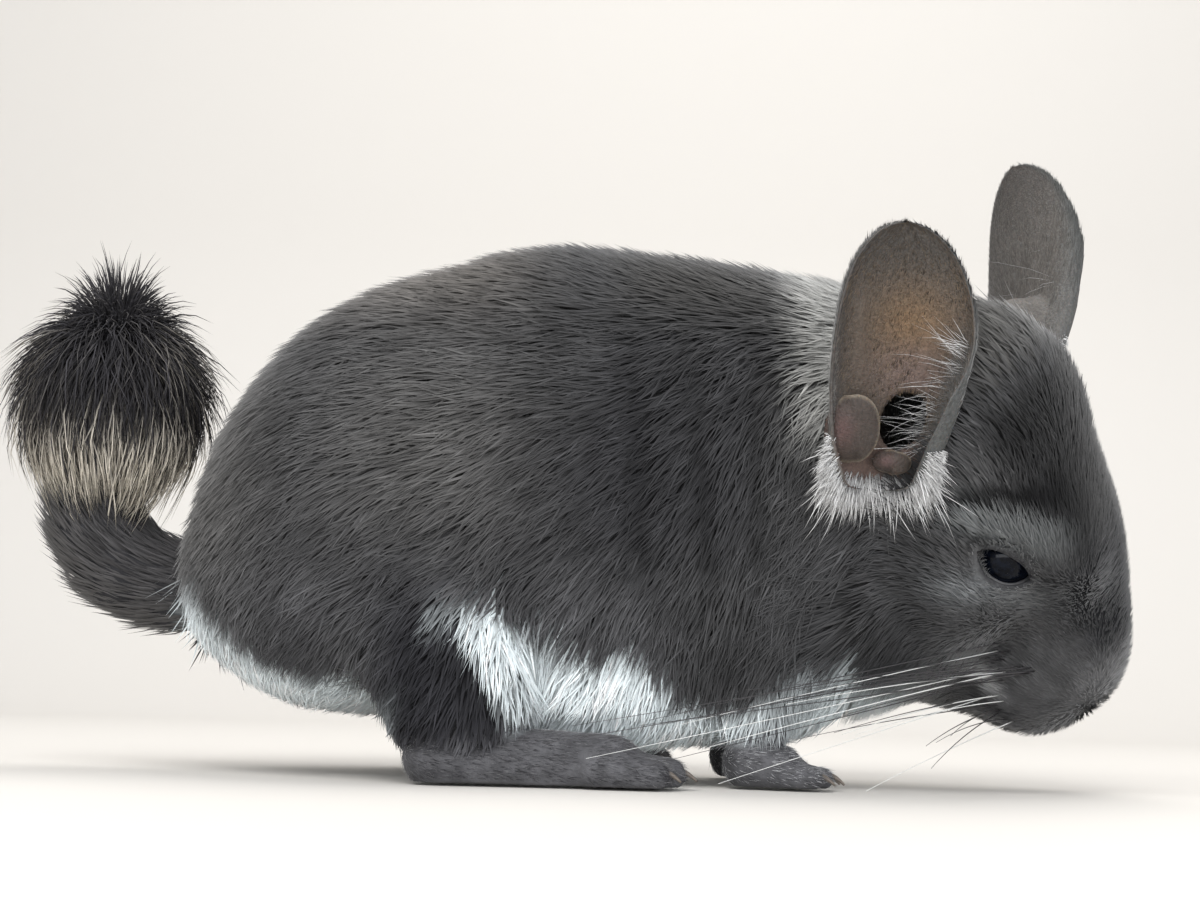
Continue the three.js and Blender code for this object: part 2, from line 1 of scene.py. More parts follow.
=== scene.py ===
# A still, life-size chinchilla: skin, coat, ears, eyes, feet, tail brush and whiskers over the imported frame.
# Working axes are millimetres with +X towards the nose, +Y the animal's left, +Z up and the floor at 0.
import math
import time

import bpy
import numpy as np
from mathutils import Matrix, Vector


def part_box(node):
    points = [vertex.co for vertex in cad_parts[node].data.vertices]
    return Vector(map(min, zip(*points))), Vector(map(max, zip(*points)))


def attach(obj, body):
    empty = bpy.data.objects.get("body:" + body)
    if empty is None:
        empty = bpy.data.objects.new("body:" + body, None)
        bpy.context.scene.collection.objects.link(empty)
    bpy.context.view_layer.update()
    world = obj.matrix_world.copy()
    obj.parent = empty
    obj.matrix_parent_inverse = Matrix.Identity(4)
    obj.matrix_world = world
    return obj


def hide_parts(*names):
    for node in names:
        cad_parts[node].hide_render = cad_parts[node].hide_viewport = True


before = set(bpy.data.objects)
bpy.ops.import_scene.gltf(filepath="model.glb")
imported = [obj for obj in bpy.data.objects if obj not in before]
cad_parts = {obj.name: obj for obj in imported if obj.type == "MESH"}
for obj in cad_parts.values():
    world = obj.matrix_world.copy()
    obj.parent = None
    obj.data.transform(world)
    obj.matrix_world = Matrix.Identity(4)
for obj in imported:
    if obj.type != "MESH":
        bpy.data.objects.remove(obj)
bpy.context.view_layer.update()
T0 = time.perf_counter()
rng = np.random.default_rng(20260)


def note(*words):
    print("[scene %.1fs]" % (time.perf_counter() - T0), *words, flush=True)


# ------------------------------------------------------------------ masses, as in the solids
HEAD = dict(at=(94.8, -14.0, 58.8), yaw=-9.0, pitch=50.0, roll=38.0, scale=1.12)
EYE_RADIUS = 7.4
EYE_SEAT = (0.0, 14.8, 0.4)


def E(at, half, blend, yaw=0.0, pitch=0.0):
    return ("E", at, half, blend, yaw, pitch)


def C(a, b, ra, rb, blend):
    return ("C", a, b, ra, rb, blend)


TRUNK = [
    E((-47, 0, 57), (47.3, 48, 43), 10),
    E((-8, 0, 78.5), (53.7, 43, 47), 20, 0, 0),
    E((-2, 0, 47), (50, 42, 38), 16),
    E((-42, 0, 74), (41.2, 43, 39.8), 12, 0, -20),
    E((-63, 0, 43), (34, 38, 26), 10),
    E((30, -1, 73.5), (41.7, 38, 47.5), 16, 0, 4),
    E((36, 0, 40), (28, 30, 32), 14),
    E((1, 14, 23), (33, 21, 16), 10),
    E((1, -14, 23), (33, 21, 16), 10),
]
NECK = [
    E((58, -5, 79.7), (33.6, 33, 35), 20, 0, 12),
    E((60, -6, 50), (28, 29, 34), 18),
    C((88, 1, 84), (99, 12, 99), 13, 8, 10),
]
HEAD_MASSES = [
    E((-12, 0, 4), (28, 23, 19), 12),
    E((-26, 0, 8), (22, 24, 23), 12),
    E((-3, 0, 7.7), (20, 18, 11), 10),
    E((13.2, 0, -3.4), (23.5, 15, 16.4), 10, 0, 4),
    E((27, 0, -7), (10.9, 8.5, 7.4), 8),
    E((26.5, 6.5, -13.7), (11.5, 10.0, 12.9), 7),
    E((26.5, -6.5, -13.7), (11.5, 10.0, 12.9), 7),
    E((14.4, 0, -26.2), (14.1, 11, 11.1), 8),
    E((-9.6, 15, -13.2), (21, 12.8, 14), 10),
    E((-9.6, -15, -13.2), (21, 12.8, 14), 10),
    E((-8, 0, -20), (20, 16, 13), 10),
    E((0.2, 12.5, 9.9), (13, 6.9, 6.3), 8),
    E((0.2, -12.5, 9.9), (13, 6.9, 6.3), 8),
]
HINDLEG_R = [E((-34, -35, 30), (18, 17.5, 27), 10, 0, -22), E((-28, -39, 19), (15, 11, 16), 8)]
HINDFOOT_R = [
    C((-33, -39, 5.8), (4, -38, 4.9), 7.6, 6.7, 4),
    C((2, -42.5, 3.8), (13, -43.6, 3.0), 4.6, 3.8, 3),
    C((3, -38, 4.2), (16.5, -38, 3.1), 4.8, 3.9, 3),
    C((2, -33.5, 3.8), (14, -32.4, 3.0), 4.6, 3.8, 3),
]
FORELEG_R = [C((42, -20, 34), (37, -23, 13), 11.5, 8, 8)]
FOREPAW_R = [
    C((35, -23.5, 5.6), (41, -24, 4.4), 6.8, 5.8, 3),
    C((40, -28, 3.4), (48, -29.6, 2.6), 3.3, 2.8, 2.4),
    C((41, -25.2, 3.6), (50.5, -25.9, 2.6), 3.3, 2.8, 2.4),
    C((41, -22, 3.6), (50, -21.9, 2.6), 3.3, 2.8, 2.4),
    C((40, -19.4, 3.4), (47, -18.2, 2.6), 3.2, 2.7, 2.4),
]


def mirrored(masses):
    out = []
    for m in masses:
        if m[0] == "E":
            out.append(("E", (m[1][0], -m[1][1], m[1][2]), m[2], m[3], -m[4], m[5]))
        else:
            out.append(("C", (m[1][0], -m[1][1], m[1][2]), (m[2][0], -m[2][1], m[2][2]), m[3], m[4], m[5]))
    return out


# ------------------------------------------------------------------ frames
def turn(axis, degrees):
    c, s = math.cos(math.radians(degrees)), math.sin(math.radians(degrees))
    return np.array({"x": [[1, 0, 0], [0, c, -s], [0, s, c]], "y": [[c, 0, s], [0, 1, 0], [-s, 0, c]], "z": [[c, -s, 0], [s, c, 0], [0, 0, 1]]}[axis], float)


HR = turn("z", -HEAD["yaw"]) @ turn("y", HEAD["pitch"]) @ turn("x", HEAD["roll"])
HC = np.array(HEAD["at"])
HS = HEAD["scale"]


def head_point(p):
    return HC + HS * (np.asarray(p, float) @ HR.T)


def head_dir(v):
    v = np.asarray(v, float) @ HR.T
    return v / np.linalg.norm(v, axis=-1, keepdims=True)


def head_local(P):
    return (P - HC) @ HR / HS


eye_low, eye_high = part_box("eye_right")
EYE_AT = head_point((EYE_SEAT[0], -EYE_SEAT[1], EYE_SEAT[2]))
ORIGIN = EYE_AT - 500.0 * (np.array(eye_low) + np.array(eye_high))
note("origin", ORIGIN.round(2))


def row(P):
    """Working millimetres to the row's metres."""
    return (np.asarray(P, float) - ORIGIN) / 1000.0


# ------------------------------------------------------------------ fields
def smin(a, b, k):
    h = np.maximum(k - np.abs(a - b), 0.0) / k
    return np.minimum(a, b) - h * h * k * 0.25


def mass(m, P, in_head=False):
    if m[0] == "C":
        a, b = np.array(m[1], float), np.array(m[2], float)
        ba = b - a
        t = np.clip(((P - a) @ ba) / (ba @ ba), 0, 1)
        return np.linalg.norm(P - a - t[:, None] * ba, axis=1) - (m[3] + (m[4] - m[3]) * t)
    R = turn("z", m[4]) @ turn("y", m[5])
    at, half, s = np.array(m[1], float), np.array(m[2], float), 1.0
    Q = P
    if in_head:
        Q, s = head_local(P), HS
    q = (Q - at) @ R / half
    k0 = np.sqrt((q * q).sum(1))
    q2 = q / half
    k1 = np.sqrt((q2 * q2).sum(1)) + 1e-9
    return s * k0 * (k0 - 1) / k1


def union(masses, P, in_head=False):
    d = np.full(len(P), 1e3)
    for m in masses:
        k = m[3] if m[0] == "E" else m[5]
        d = smin(d, mass(m, P, in_head), k * (HS if in_head else 1.0))
    return d


def body_field(P):
    """Signed distance to the coat's outline, without the feet, ears and tail."""
    d = union(TRUNK, P)
    d = smin(d, union(NECK, P), 16)
    d = smin(d, union(HEAD_MASSES, P, True), 12)
    for sided in (lambda m: m, mirrored):
        d = smin(d, union(sided(HINDLEG_R), P), 9)
        d = smin(d, union(sided(FORELEG_R), P), 7)
    return np.maximum(d, -P[:, 2])


def feet_field(P):
    d = np.full(len(P), 1e3)
    for sided in (lambda m: m, mirrored):
        d = smin(d, union(sided(HINDFOOT_R), P), 1.0)
        d = smin(d, union(sided(FOREPAW_R), P), 1.0)
    return np.maximum(d, -P[:, 2])


def band(x, a, b):
    """0 below a, 1 above b, smooth between."""
    t = np.clip((x - a) / (b - a), 0, 1)
    return t * t * (3 - 2 * t)


def depth_of(P):
    """How deep the skin lies under the coat's outline."""
    h = head_local(P)
    d = np.full(len(P), 4.6)
    in_head = band(P[:, 0], 58, 78)
    face = band(h[:, 0], -26, 6)
    d = d * (1 - in_head) + in_head * (3.6 - 2.0 * face - 0.4 * band(h[:, 0], 12, 30))
    low = 1 - band(P[:, 2], 8, 30)
    legs = np.minimum(np.abs(np.abs(P[:, 1]) - 38) / 22, 1.0)
    d = d * (1 - 0.5 * low * (1 - legs) * (P[:, 0] < 0))
    return d


TAIL_LINE = np.array([(-88, 0, 41), (-99, -0.5, 42), (-110, -1, 46), (-117, -1.5, 55), (-119, -1, 66), (-119.5, 1, 80), (-119, 1, 93), (-117, -2, 101), (-114.5, -8, 103), (-113, -13, 97), (-112.5, -15, 87)], float)
TAIL_RADIUS = np.array([9.0, 9.6, 10.4, 10.2, 8.6, 5.6, 4.0, 3.4, 3.2, 2.8, 2.0])


def tail_field(P):
    d = np.full(len(P), 1e3)
    for i in range(len(TAIL_LINE) - 1):
        d = smin(d, mass(("C", TAIL_LINE[i], TAIL_LINE[i + 1], TAIL_RADIUS[i], TAIL_RADIUS[i + 1], 0), P), 2.0)
    return d


# ------------------------------------------------------------------ shape of the ears
EAR_HALF_WIDTH = 14.9
EARS = {
    "right": dict(foot=(59, -40, 69), tip=(63, -57.5, 119.5), open=(0.22, -0.97, 0), roll=1),
    "left": dict(foot=(99.5, 12, 100), tip=(104.7, 31, 156.5), open=(0.86, 0.5, -0.2), roll=-1),
}
EAR_AT = (0, 0.15, 0.35, 0.5, 0.65, 0.8, 1)
FRONT_TURN, FRONT_CURL = (3.0, 3.0, 2.75, 2.1, 1.5, 1.05, 0.7), (5.0, 6.4, 6.0, 5.0, 4.2, 3.6, 3.0)
REAR_TURN, REAR_CURL = (2.5, 1.75, 1.3, 1.1, 0.98, 0.85, 0.7), (5.5, 6.0, 6.0, 6.0, 5.5, 5.0, 4.0)


def ear_frame(e):
    foot = np.array(e["foot"], float)
    along = np.array(e["tip"], float) - foot
    length = np.linalg.norm(along)
    along /= length
    o = np.array(e["open"], float)
    o -= along * (o @ along)
    o /= np.linalg.norm(o)
    front = np.cross(along, o) * e["roll"]
    return foot, along, o, front / np.linalg.norm(front), length


def ear_point(e, a, v, offset):
    """a from base (below 0: the bottom of the bowl) to tip, v from the rear rim (-1) to the front rim (1), offset towards the opening."""
    a, v = np.broadcast_arrays(np.asarray(a, float), np.asarray(v, float))
    foot, along, o, front, length = ear_frame(e)
    b = np.maximum(a, 0)
    w = EAR_HALF_WIDTH * np.where(b < 0.55, 0.72 + 0.28 * np.sin(np.minimum(b / 0.55, 1) * np.pi / 2), np.sqrt(np.maximum(0.008, 1 - (np.maximum(b - 0.55, 0) / 0.45) ** 2.3)))
    isf = v > 0
    turn_ = np.where(isf, np.interp(b, EAR_AT, FRONT_TURN), np.interp(b, EAR_AT, REAR_TURN))
    curl = np.where(isf, np.interp(b, EAR_AT, FRONT_CURL), np.interp(b, EAR_AT, REAR_CURL))
    curl = np.maximum(np.minimum(curl, 0.45 * w), 1.1)
    first = 0.5 - 0.12 * b
    reach = np.where(turn_ < np.pi / 2, np.sin(turn_), 1.0)
    R = curl + np.maximum(w - curl * reach, 0.2) / np.sin(first)
    m = np.abs(v)
    main = m <= 0.62
    angle = np.where(main, first * m / 0.62, first + (turn_ - first) * (m - 0.62) / 0.38)
    x = np.where(main, (R - offset) * np.sin(angle), (R - curl) * np.sin(first) + (curl - offset) * np.sin(angle))
    y = np.where(main, R - (R - offset) * np.cos(angle), R - (R - curl) * np.cos(first) - (curl - offset) * np.cos(angle))
    flat = 0.62 + 0.38 * band(b, 0.35, 0.75)
    close = np.sqrt(np.maximum(1 - (np.minimum(a, 0) / 0.0735) ** 2, 0.02))
    x, y = x * np.where(isf, 1, -1) * close, y * flat * close + 3 * np.sin(np.pi * b)
    return foot + (a * length)[..., None] * along + x[..., None] * front + y[..., None] * o


def canal_field(P, grow=0.0):
    """The hollow under each ear's opening."""
    d = np.full(len(P), 1e3)
    for e in EARS.values():
        foot, along, o, front, length = ear_frame(e)
        c = ear_point(e, np.array(0.215), np.array(0.27), 0.0)
        q = (P - c) @ np.stack([front, along, o]).T / (np.array([5.4, 8.0, 11.5]) + grow)
        k0 = np.linalg.norm(q, axis=1)
        d = np.minimum(d, (k0 - 1) * 5.4)
    return d


# eye axes: along the opening, up across it, and out of the head
def eye_axes(side):
    s = -1.0 if side == "right" else 1.0
    out = head_dir((0.16, s * 0.975, 0.14))
    along = head_dir((0.94, 0.0, 0.34))
    along = along - out * (along @ out)
    along /= np.linalg.norm(along)
    up = np.cross(out, along) * (-1 if side == "right" else 1)
    if up @ HR[:, 2] < 0:
        up = -up
    return np.stack([along, up, out]), head_point((EYE_SEAT[0], s * EYE_SEAT[1], EYE_SEAT[2]))


EYES = {side: eye_axes(side) for side in ("right", "left")}
LID_HALF, LID_UP, LID_DOWN = 7.0, 3.0, 3.9


def lid_gap(q):
    """Below 0 inside the opening between the lids."""
    arch = 1 - np.abs(q[:, 0] / LID_HALF) ** 2.5
    return np.maximum(q[:, 1] - LID_UP * arch, -LID_DOWN * arch - q[:, 1])


def skin_field(P):
    d = body_field(P) + depth_of(P)
    h = head_local(P)
    near = P[:, 0] > 60
    # cleft of the upper lip, mouth and nostrils
    front = band(h[:, 0], 20, 27) * (1 - band(h[:, 2], -7, -4)) * band(h[:, 2], -26, -22)
    d = d + near * 1.5 * front * np.exp(-((h[:, 1] / 0.9) ** 2))
    mouth = np.exp(-(((h[:, 2] + 21.0 + 0.10 * (h[:, 0] - 24)) / 1.0) ** 2)) * band(h[:, 0], 12, 18) * (1 - band(np.abs(h[:, 1]), 7, 11))
    d = d + near * 1.6 * mouth
    for s in (-1, 1):
        n = np.sqrt(((h[:, 0] - 34.5) / 3.0) ** 2 + ((h[:, 1] - s * 3.2) / 0.9) ** 2 + ((h[:, 2] + 6.2 - 0.25 * s * (h[:, 1] - s * 3.2)) / 1.5) ** 2)
        d = d + near * 1.6 * np.exp(-(n ** 2))
    # folds behind and above the eye, as in the photo
    for side in ("right", "left"):
        A, c = EYES[side]
        q = (P - c) @ A.T
        r = np.linalg.norm(q, axis=1)
        d = smin(d, r - (EYE_RADIUS + 1.0), 3.0)
        fold = np.exp(-(((q[:, 1] - (5.6 - 0.06 * q[:, 0] ** 2)) / 0.8) ** 2)) * (np.abs(q[:, 0]) < 9) * (q[:, 2] > 0)
        d = d + 0.45 * fold
        d = np.where(q[:, 2] > 0, np.maximum(d, -np.maximum(lid_gap(q), 0.4 - q[:, 2])), d)
        d = np.maximum(d, -(r - EYE_RADIUS - 0.12))
    d = smin(d, feet_field(P) + 0.45, 2.0)
    d = smin(d, tail_field(P), 4.0)
    d = np.maximum(d, -canal_field(P))
    return np.maximum(d, 0.06 - P[:, 2])


class Grid:
    """A field sampled finely near a surface and coarsely elsewhere."""

    def __init__(self, f, low, high, step, fine=True, width=2.6):
        self.low, self.step = np.array(low, float), step
        self.n = np.ceil((np.array(high) - low) / step / 4).astype(int) * 4 + 1
        c = [self.low[i] + step * 4 * np.arange((self.n[i] - 1) // 4 + 1) for i in range(3)]
        G = np.stack(np.meshgrid(*c, indexing="ij"), -1).reshape(-1, 3)
        d = f(G).reshape([len(v) for v in c])
        for axis in range(3):
            a = np.moveaxis(d, axis, 0)
            b = np.empty(((len(a) - 1) * 4 + 1,) + a.shape[1:])
            for k in range(4):
                b[k::4][: len(a) - 1] = a[:-1] * (1 - k / 4) + a[1:] * (k / 4)
            b[-1] = a[-1]
            d = np.moveaxis(b, 0, axis)
        self.d = np.ascontiguousarray(d)
        if fine:
            near = np.argwhere(np.abs(self.d) < width)
            for part in np.array_split(near, max(1, len(near) // 200000)):
                self.d[tuple(part.T)] = f(self.low + step * part)

    def at(self, P):
        q = np.clip((P - self.low) / self.step, 0, np.array(self.n) - 1.001)
        i = q.astype(int)
        t = q - i
        out = 0
        for c in range(8):
            o = np.array([c & 1, (c >> 1) & 1, c >> 2])
            w = np.prod(np.where(o, t, 1 - t), axis=1)
            j = i + o
            out = out + w * self.d[j[:, 0], j[:, 1], j[:, 2]]
        return out

    def slope(self, P, e=None):
        e = e or self.step
        g = np.stack([self.at(P + e * a) - self.at(P - e * a) for a in np.eye(3)], 1)
        return g / (np.linalg.norm(g, axis=1, keepdims=True) + 1e-9)


EDGES = [(0, 1), (2, 3), (4, 5), (6, 7), (0, 2), (1, 3), (4, 6), (5, 7), (0, 4), (1, 5), (2, 6), (3, 7)]


def surface(grid, f=None, rounds=1):
    """The level surface of a grid: one vertex in each crossed cell, then drawn onto the surface."""
    d, (nx, ny, nz) = grid.d, grid.n
    s = d < 0
    cell = np.zeros((nx - 1, ny - 1, nz - 1), int)
    for c in range(8):
        cell += s[c & 1:nx - 1 + (c & 1), (c >> 1) & 1:ny - 1 + ((c >> 1) & 1), c >> 2:nz - 1 + (c >> 2)]
    idx = np.argwhere((cell > 0) & (cell < 8))
    ids = np.full(cell.shape, -1)
    ids[tuple(idx.T)] = np.arange(len(idx))
    corner = np.stack([d[idx[:, 0] + (c & 1), idx[:, 1] + ((c >> 1) & 1), idx[:, 2] + (c >> 2)] for c in range(8)], 1)
    total, count = np.zeros((len(idx), 3)), np.zeros(len(idx))
    for p, q in EDGES:
        a, b = corner[:, p], corner[:, q]
        hit = (a < 0) != (b < 0)
        t = np.where(hit, a / np.where(hit, a - b, 1), 0)
        at = np.array([p & 1, (p >> 1) & 1, p >> 2], float)
        to = np.array([q & 1, (q >> 1) & 1, q >> 2], float)
        total += hit[:, None] * (at + t[:, None] * (to - at))
        count += hit
    V = grid.low + grid.step * (idx + total / count[:, None])
    for _ in range(rounds if f else 0):
        v = f(V)
        V = V - grid.slope(V, 0.35) * np.clip(v, -0.3 * grid.step, 0.3 * grid.step)[:, None]
    faces = []
    for axis in range(3):
        u, w = (axis + 1) % 3, (axis + 2) % 3
        lo, hi = [slice(None)] * 3, [slice(None)] * 3
        lo[axis], hi[axis] = slice(0, -1), slice(1, None)
        a = s[tuple(lo)]
        e = np.argwhere(a != s[tuple(hi)])
        e = e[(e[:, u] > 0) & (e[:, w] > 0) & (e[:, u] < grid.n[u] - 1) & (e[:, w] < grid.n[w] - 1)]
        q = []
        for du, dw in ((1, 1), (0, 1), (0, 0), (1, 0)):
            j = e.copy()
            j[:, u] -= du
            j[:, w] -= dw
            q.append(ids[tuple(j.T)])
        q = np.stack(q, 1)
        q = np.where(a[tuple(e.T)][:, None], q, q[:, ::-1])
        faces.append(q)
    F = np.concatenate(faces)
    return V, F[(F >= 0).all(1)]


# ------------------------------------------------------------------ meshes
def linear(rgb):
    c = np.asarray(rgb, float) / 255.0
    return np.where(c <= 0.04045, c / 12.92, ((c + 0.055) / 1.055) ** 2.4)


def build(name, V, F, material, colours=None, uv=None, smooth=True, replaces=()):
    """A mesh object on the root body. V in working millimetres; F one array of equal-sided faces or several."""
    me = bpy.data.meshes.new(name)
    lists = F if isinstance(F, (list, tuple)) else [F]
    me.vertices.add(len(V))
    me.vertices.foreach_set("co", row(V).astype(np.float32).ravel())
    loops = np.concatenate([f.ravel() for f in lists]).astype(np.int32)
    sizes = np.concatenate([np.full(len(f), f.shape[1]) for f in lists])
    me.loops.add(len(loops))
    me.loops.foreach_set("vertex_index", loops)
    me.polygons.add(len(sizes))
    me.polygons.foreach_set("loop_start", (np.cumsum(sizes) - sizes).astype(np.int32))
    me.polygons.foreach_set("loop_total", sizes.astype(np.int32))
    me.update(calc_edges=True)
    me.polygons.foreach_set("use_smooth", np.full(len(sizes), smooth))
    if colours is not None:
        a = me.color_attributes.new("tone", "FLOAT_COLOR", "POINT")
        a.data.foreach_set("color", np.concatenate([colours, np.ones((len(colours), 1))], 1).astype(np.float32).ravel())
    if uv is not None:
        layer = me.uv_layers.new(name="OFBake")
        layer.data.foreach_set("uv", uv[loops].astype(np.float32).ravel())
    me.materials.append(material)
    ob = bpy.data.objects.new(name, me)
    bpy.context.scene.collection.objects.link(ob)
    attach(ob, "root")
    if replaces:
        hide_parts(*replaces)
    return ob


def tube(line, radius, sides=8, flat=1.0, wide=None):
    """A closed tapered tube along a line of points."""
    line, radius = np.asarray(line, float), np.broadcast_to(np.asarray(radius, float), len(line))
    t = np.gradient(line, axis=0)
    t /= np.linalg.norm(t, axis=1, keepdims=True)
    w = np.array(wide if wide is not None else (0.0, 0.0, 1.0))
    n = w - t * (t @ w)[:, None]
    n /= np.linalg.norm(n, axis=1, keepdims=True) + 1e-9
    b = np.cross(t, n)
    a = np.arange(sides) * 2 * np.pi / sides
    V = line[:, None] + radius[:, None, None] * (np.cos(a)[None, :, None] * n[:, None] + flat * np.sin(a)[None, :, None] * b[:, None])
    V = V.reshape(-1, 3)
    m = len(line)
    i, j = np.meshgrid(np.arange(m - 1), np.arange(sides), indexing="ij")
    p = i * sides + j
    q = i * sides + (j + 1) % sides
    F = np.stack([p, q, q + sides, p + sides], -1).reshape(-1, 4)
    return V, [F, np.arange(sides)[None, ::-1], ((m - 1) * sides + np.arange(sides))[None]]


def joined(parts):
    V, F, n = [], {}, 0
    for v, f in parts:
        for g in f if isinstance(f, (list, tuple)) else [f]:
            F.setdefault(g.shape[1], []).append(g + n)
        V.append(v)
        n += len(v)
    return np.concatenate(V), [np.concatenate(g) for g in F.values()]


# ------------------------------------------------------------------ materials
def nodes_of(name):
    mat = bpy.data.materials.new(name)
    mat.use_nodes = True
    nt = mat.node_tree
    return mat, nt.nodes, nt.links, nt.nodes["Principled BSDF"]


def toned(name, rough, bump=0.0, bump_scale=900.0, spec=0.3, vary=0.25, vary_scale=260.0, sheen=0.0, sub=0.0, coat=0.0):
    """A material whose colour is the mesh's own tone, broken up by fine procedural noise."""
    mat, N, L, P = nodes_of(name)
    a = N.new("ShaderNodeAttribute")
    a.attribute_name = "tone"
    co = N.new("ShaderNodeTexCoord")
    n = N.new("ShaderNodeTexNoise")
    n.inputs["Scale"].default_value = vary_scale
    n.inputs["Detail"].default_value = 4
    L.new(co.outputs["Object"], n.inputs["Vector"])
    r = N.new("ShaderNodeMapRange")
    r.inputs["From Min"].default_value = 0.3
    r.inputs["From Max"].default_value = 0.7
    r.inputs["To Min"].default_value = 1 - vary
    r.inputs["To Max"].default_value = 1 + vary
    L.new(n.outputs["Fac"], r.inputs["Value"])
    m = N.new("ShaderNodeVectorMath")
    m.operation = "SCALE"
    L.new(a.outputs["Color"], m.inputs[0])
    L.new(r.outputs["Result"], m.inputs["Scale"])
    L.new(m.outputs["Vector"], P.inputs["Base Color"])
    P.inputs["Roughness"].default_value = rough
    P.inputs["Specular IOR Level"].default_value = spec
    if sheen:
        P.inputs["Sheen Weight"].default_value = sheen
        P.inputs["Sheen Roughness"].default_value = 0.4
    if sub:
        P.inputs["Subsurface Weight"].default_value = sub
        P.inputs["Subsurface Radius"].default_value = (0.0015, 0.0006, 0.0003)
        P.inputs["Subsurface Scale"].default_value = 1.0
    if coat:
        P.inputs["Coat Weight"].default_value = coat
        P.inputs["Coat Roughness"].default_value = 0.2
    if bump:
        b = N.new("ShaderNodeTexNoise")
        b.inputs["Scale"].default_value = bump_scale
        b.inputs["Detail"].default_value = 3
        L.new(co.outputs["Object"], b.inputs["Vector"])
        u = N.new("ShaderNodeBump")
        u.inputs["Strength"].default_value = bump
        u.inputs["Distance"].default_value = 0.0004
        L.new(b.outputs["Fac"], u.inputs["Height"])
        L.new(u.outputs["Normal"], P.inputs["Normal"])
    return mat


MAT_SKIN = toned("skin", 0.75, bump=0.7, bump_scale=1400, vary=0.3)
MAT_COAT = toned("coat", 0.9, vary=0.12, vary_scale=220, spec=0.08, sheen=0.35)
MAT_FACE = toned("face_coat", 0.9, vary=0.12, vary_scale=400, spec=0.08, sheen=0.35)
MAT_TAIL = toned("tail_hair", 0.7, vary=0.16, vary_scale=300, spec=0.2)
MAT_EAR = toned("ear_skin", 0.55, bump=0.8, bump_scale=2200, vary=0.28, vary_scale=1500, sub=0.12, spec=0.3)
MAT_LID = toned("lid_skin", 0.38, bump=0.3, bump_scale=2500, vary=0.15, vary_scale=900, spec=0.5)
MAT_CLAW = toned("claw", 0.35, vary=0.15, vary_scale=1200, spec=0.5)
MAT_WHISKER = toned("whisker", 0.3, vary=0.1, vary_scale=300, spec=0.5)


def eye_material():
    mat, N, L, P = nodes_of("eye")
    co = N.new("ShaderNodeTexCoord")
    n = N.new("ShaderNodeTexNoise")
    n.inputs["Scale"].default_value = 700
    n.inputs["Detail"].default_value = 5
    L.new(co.outputs["Object"], n.inputs["Vector"])
    r = N.new("ShaderNodeValToRGB")
    r.color_ramp.elements[0].position, r.color_ramp.elements[1].position = 0.35, 0.75
    r.color_ramp.elements[0].color = (0.0008, 0.001, 0.002, 1)
    r.color_ramp.elements[1].color = (0.004, 0.006, 0.012, 1)
    L.new(n.outputs["Fac"], r.inputs["Fac"])
    L.new(r.outputs["Color"], P.inputs["Base Color"])
    P.inputs["Roughness"].default_value = 0.06
    P.inputs["Specular IOR Level"].default_value = 0.13
    return mat


MAT_EYE = eye_material()

# ------------------------------------------------------------------ markings
GREY = {k: linear((v, v, v)) for k, v in {"a": 60}.items()}


def wobble(P, scale, seed=0.0):
    """Smooth repeatable noise from sums of sines, about -1 to 1."""
    x, y, z = (P * scale).T
    return (np.sin(x * 1.3 + 2.1 * np.sin(y * 0.9 + seed)) + np.sin(y * 1.7 + 1.7 * np.sin(z * 1.1 + 2 * seed)) + np.sin(z * 1.5 + 1.9 * np.sin(x * 1.2 - seed))) / 3


def blend(base, colour, w):
    return base * (1 - w[:, None]) + np.asarray(colour)[None] * w[:, None]


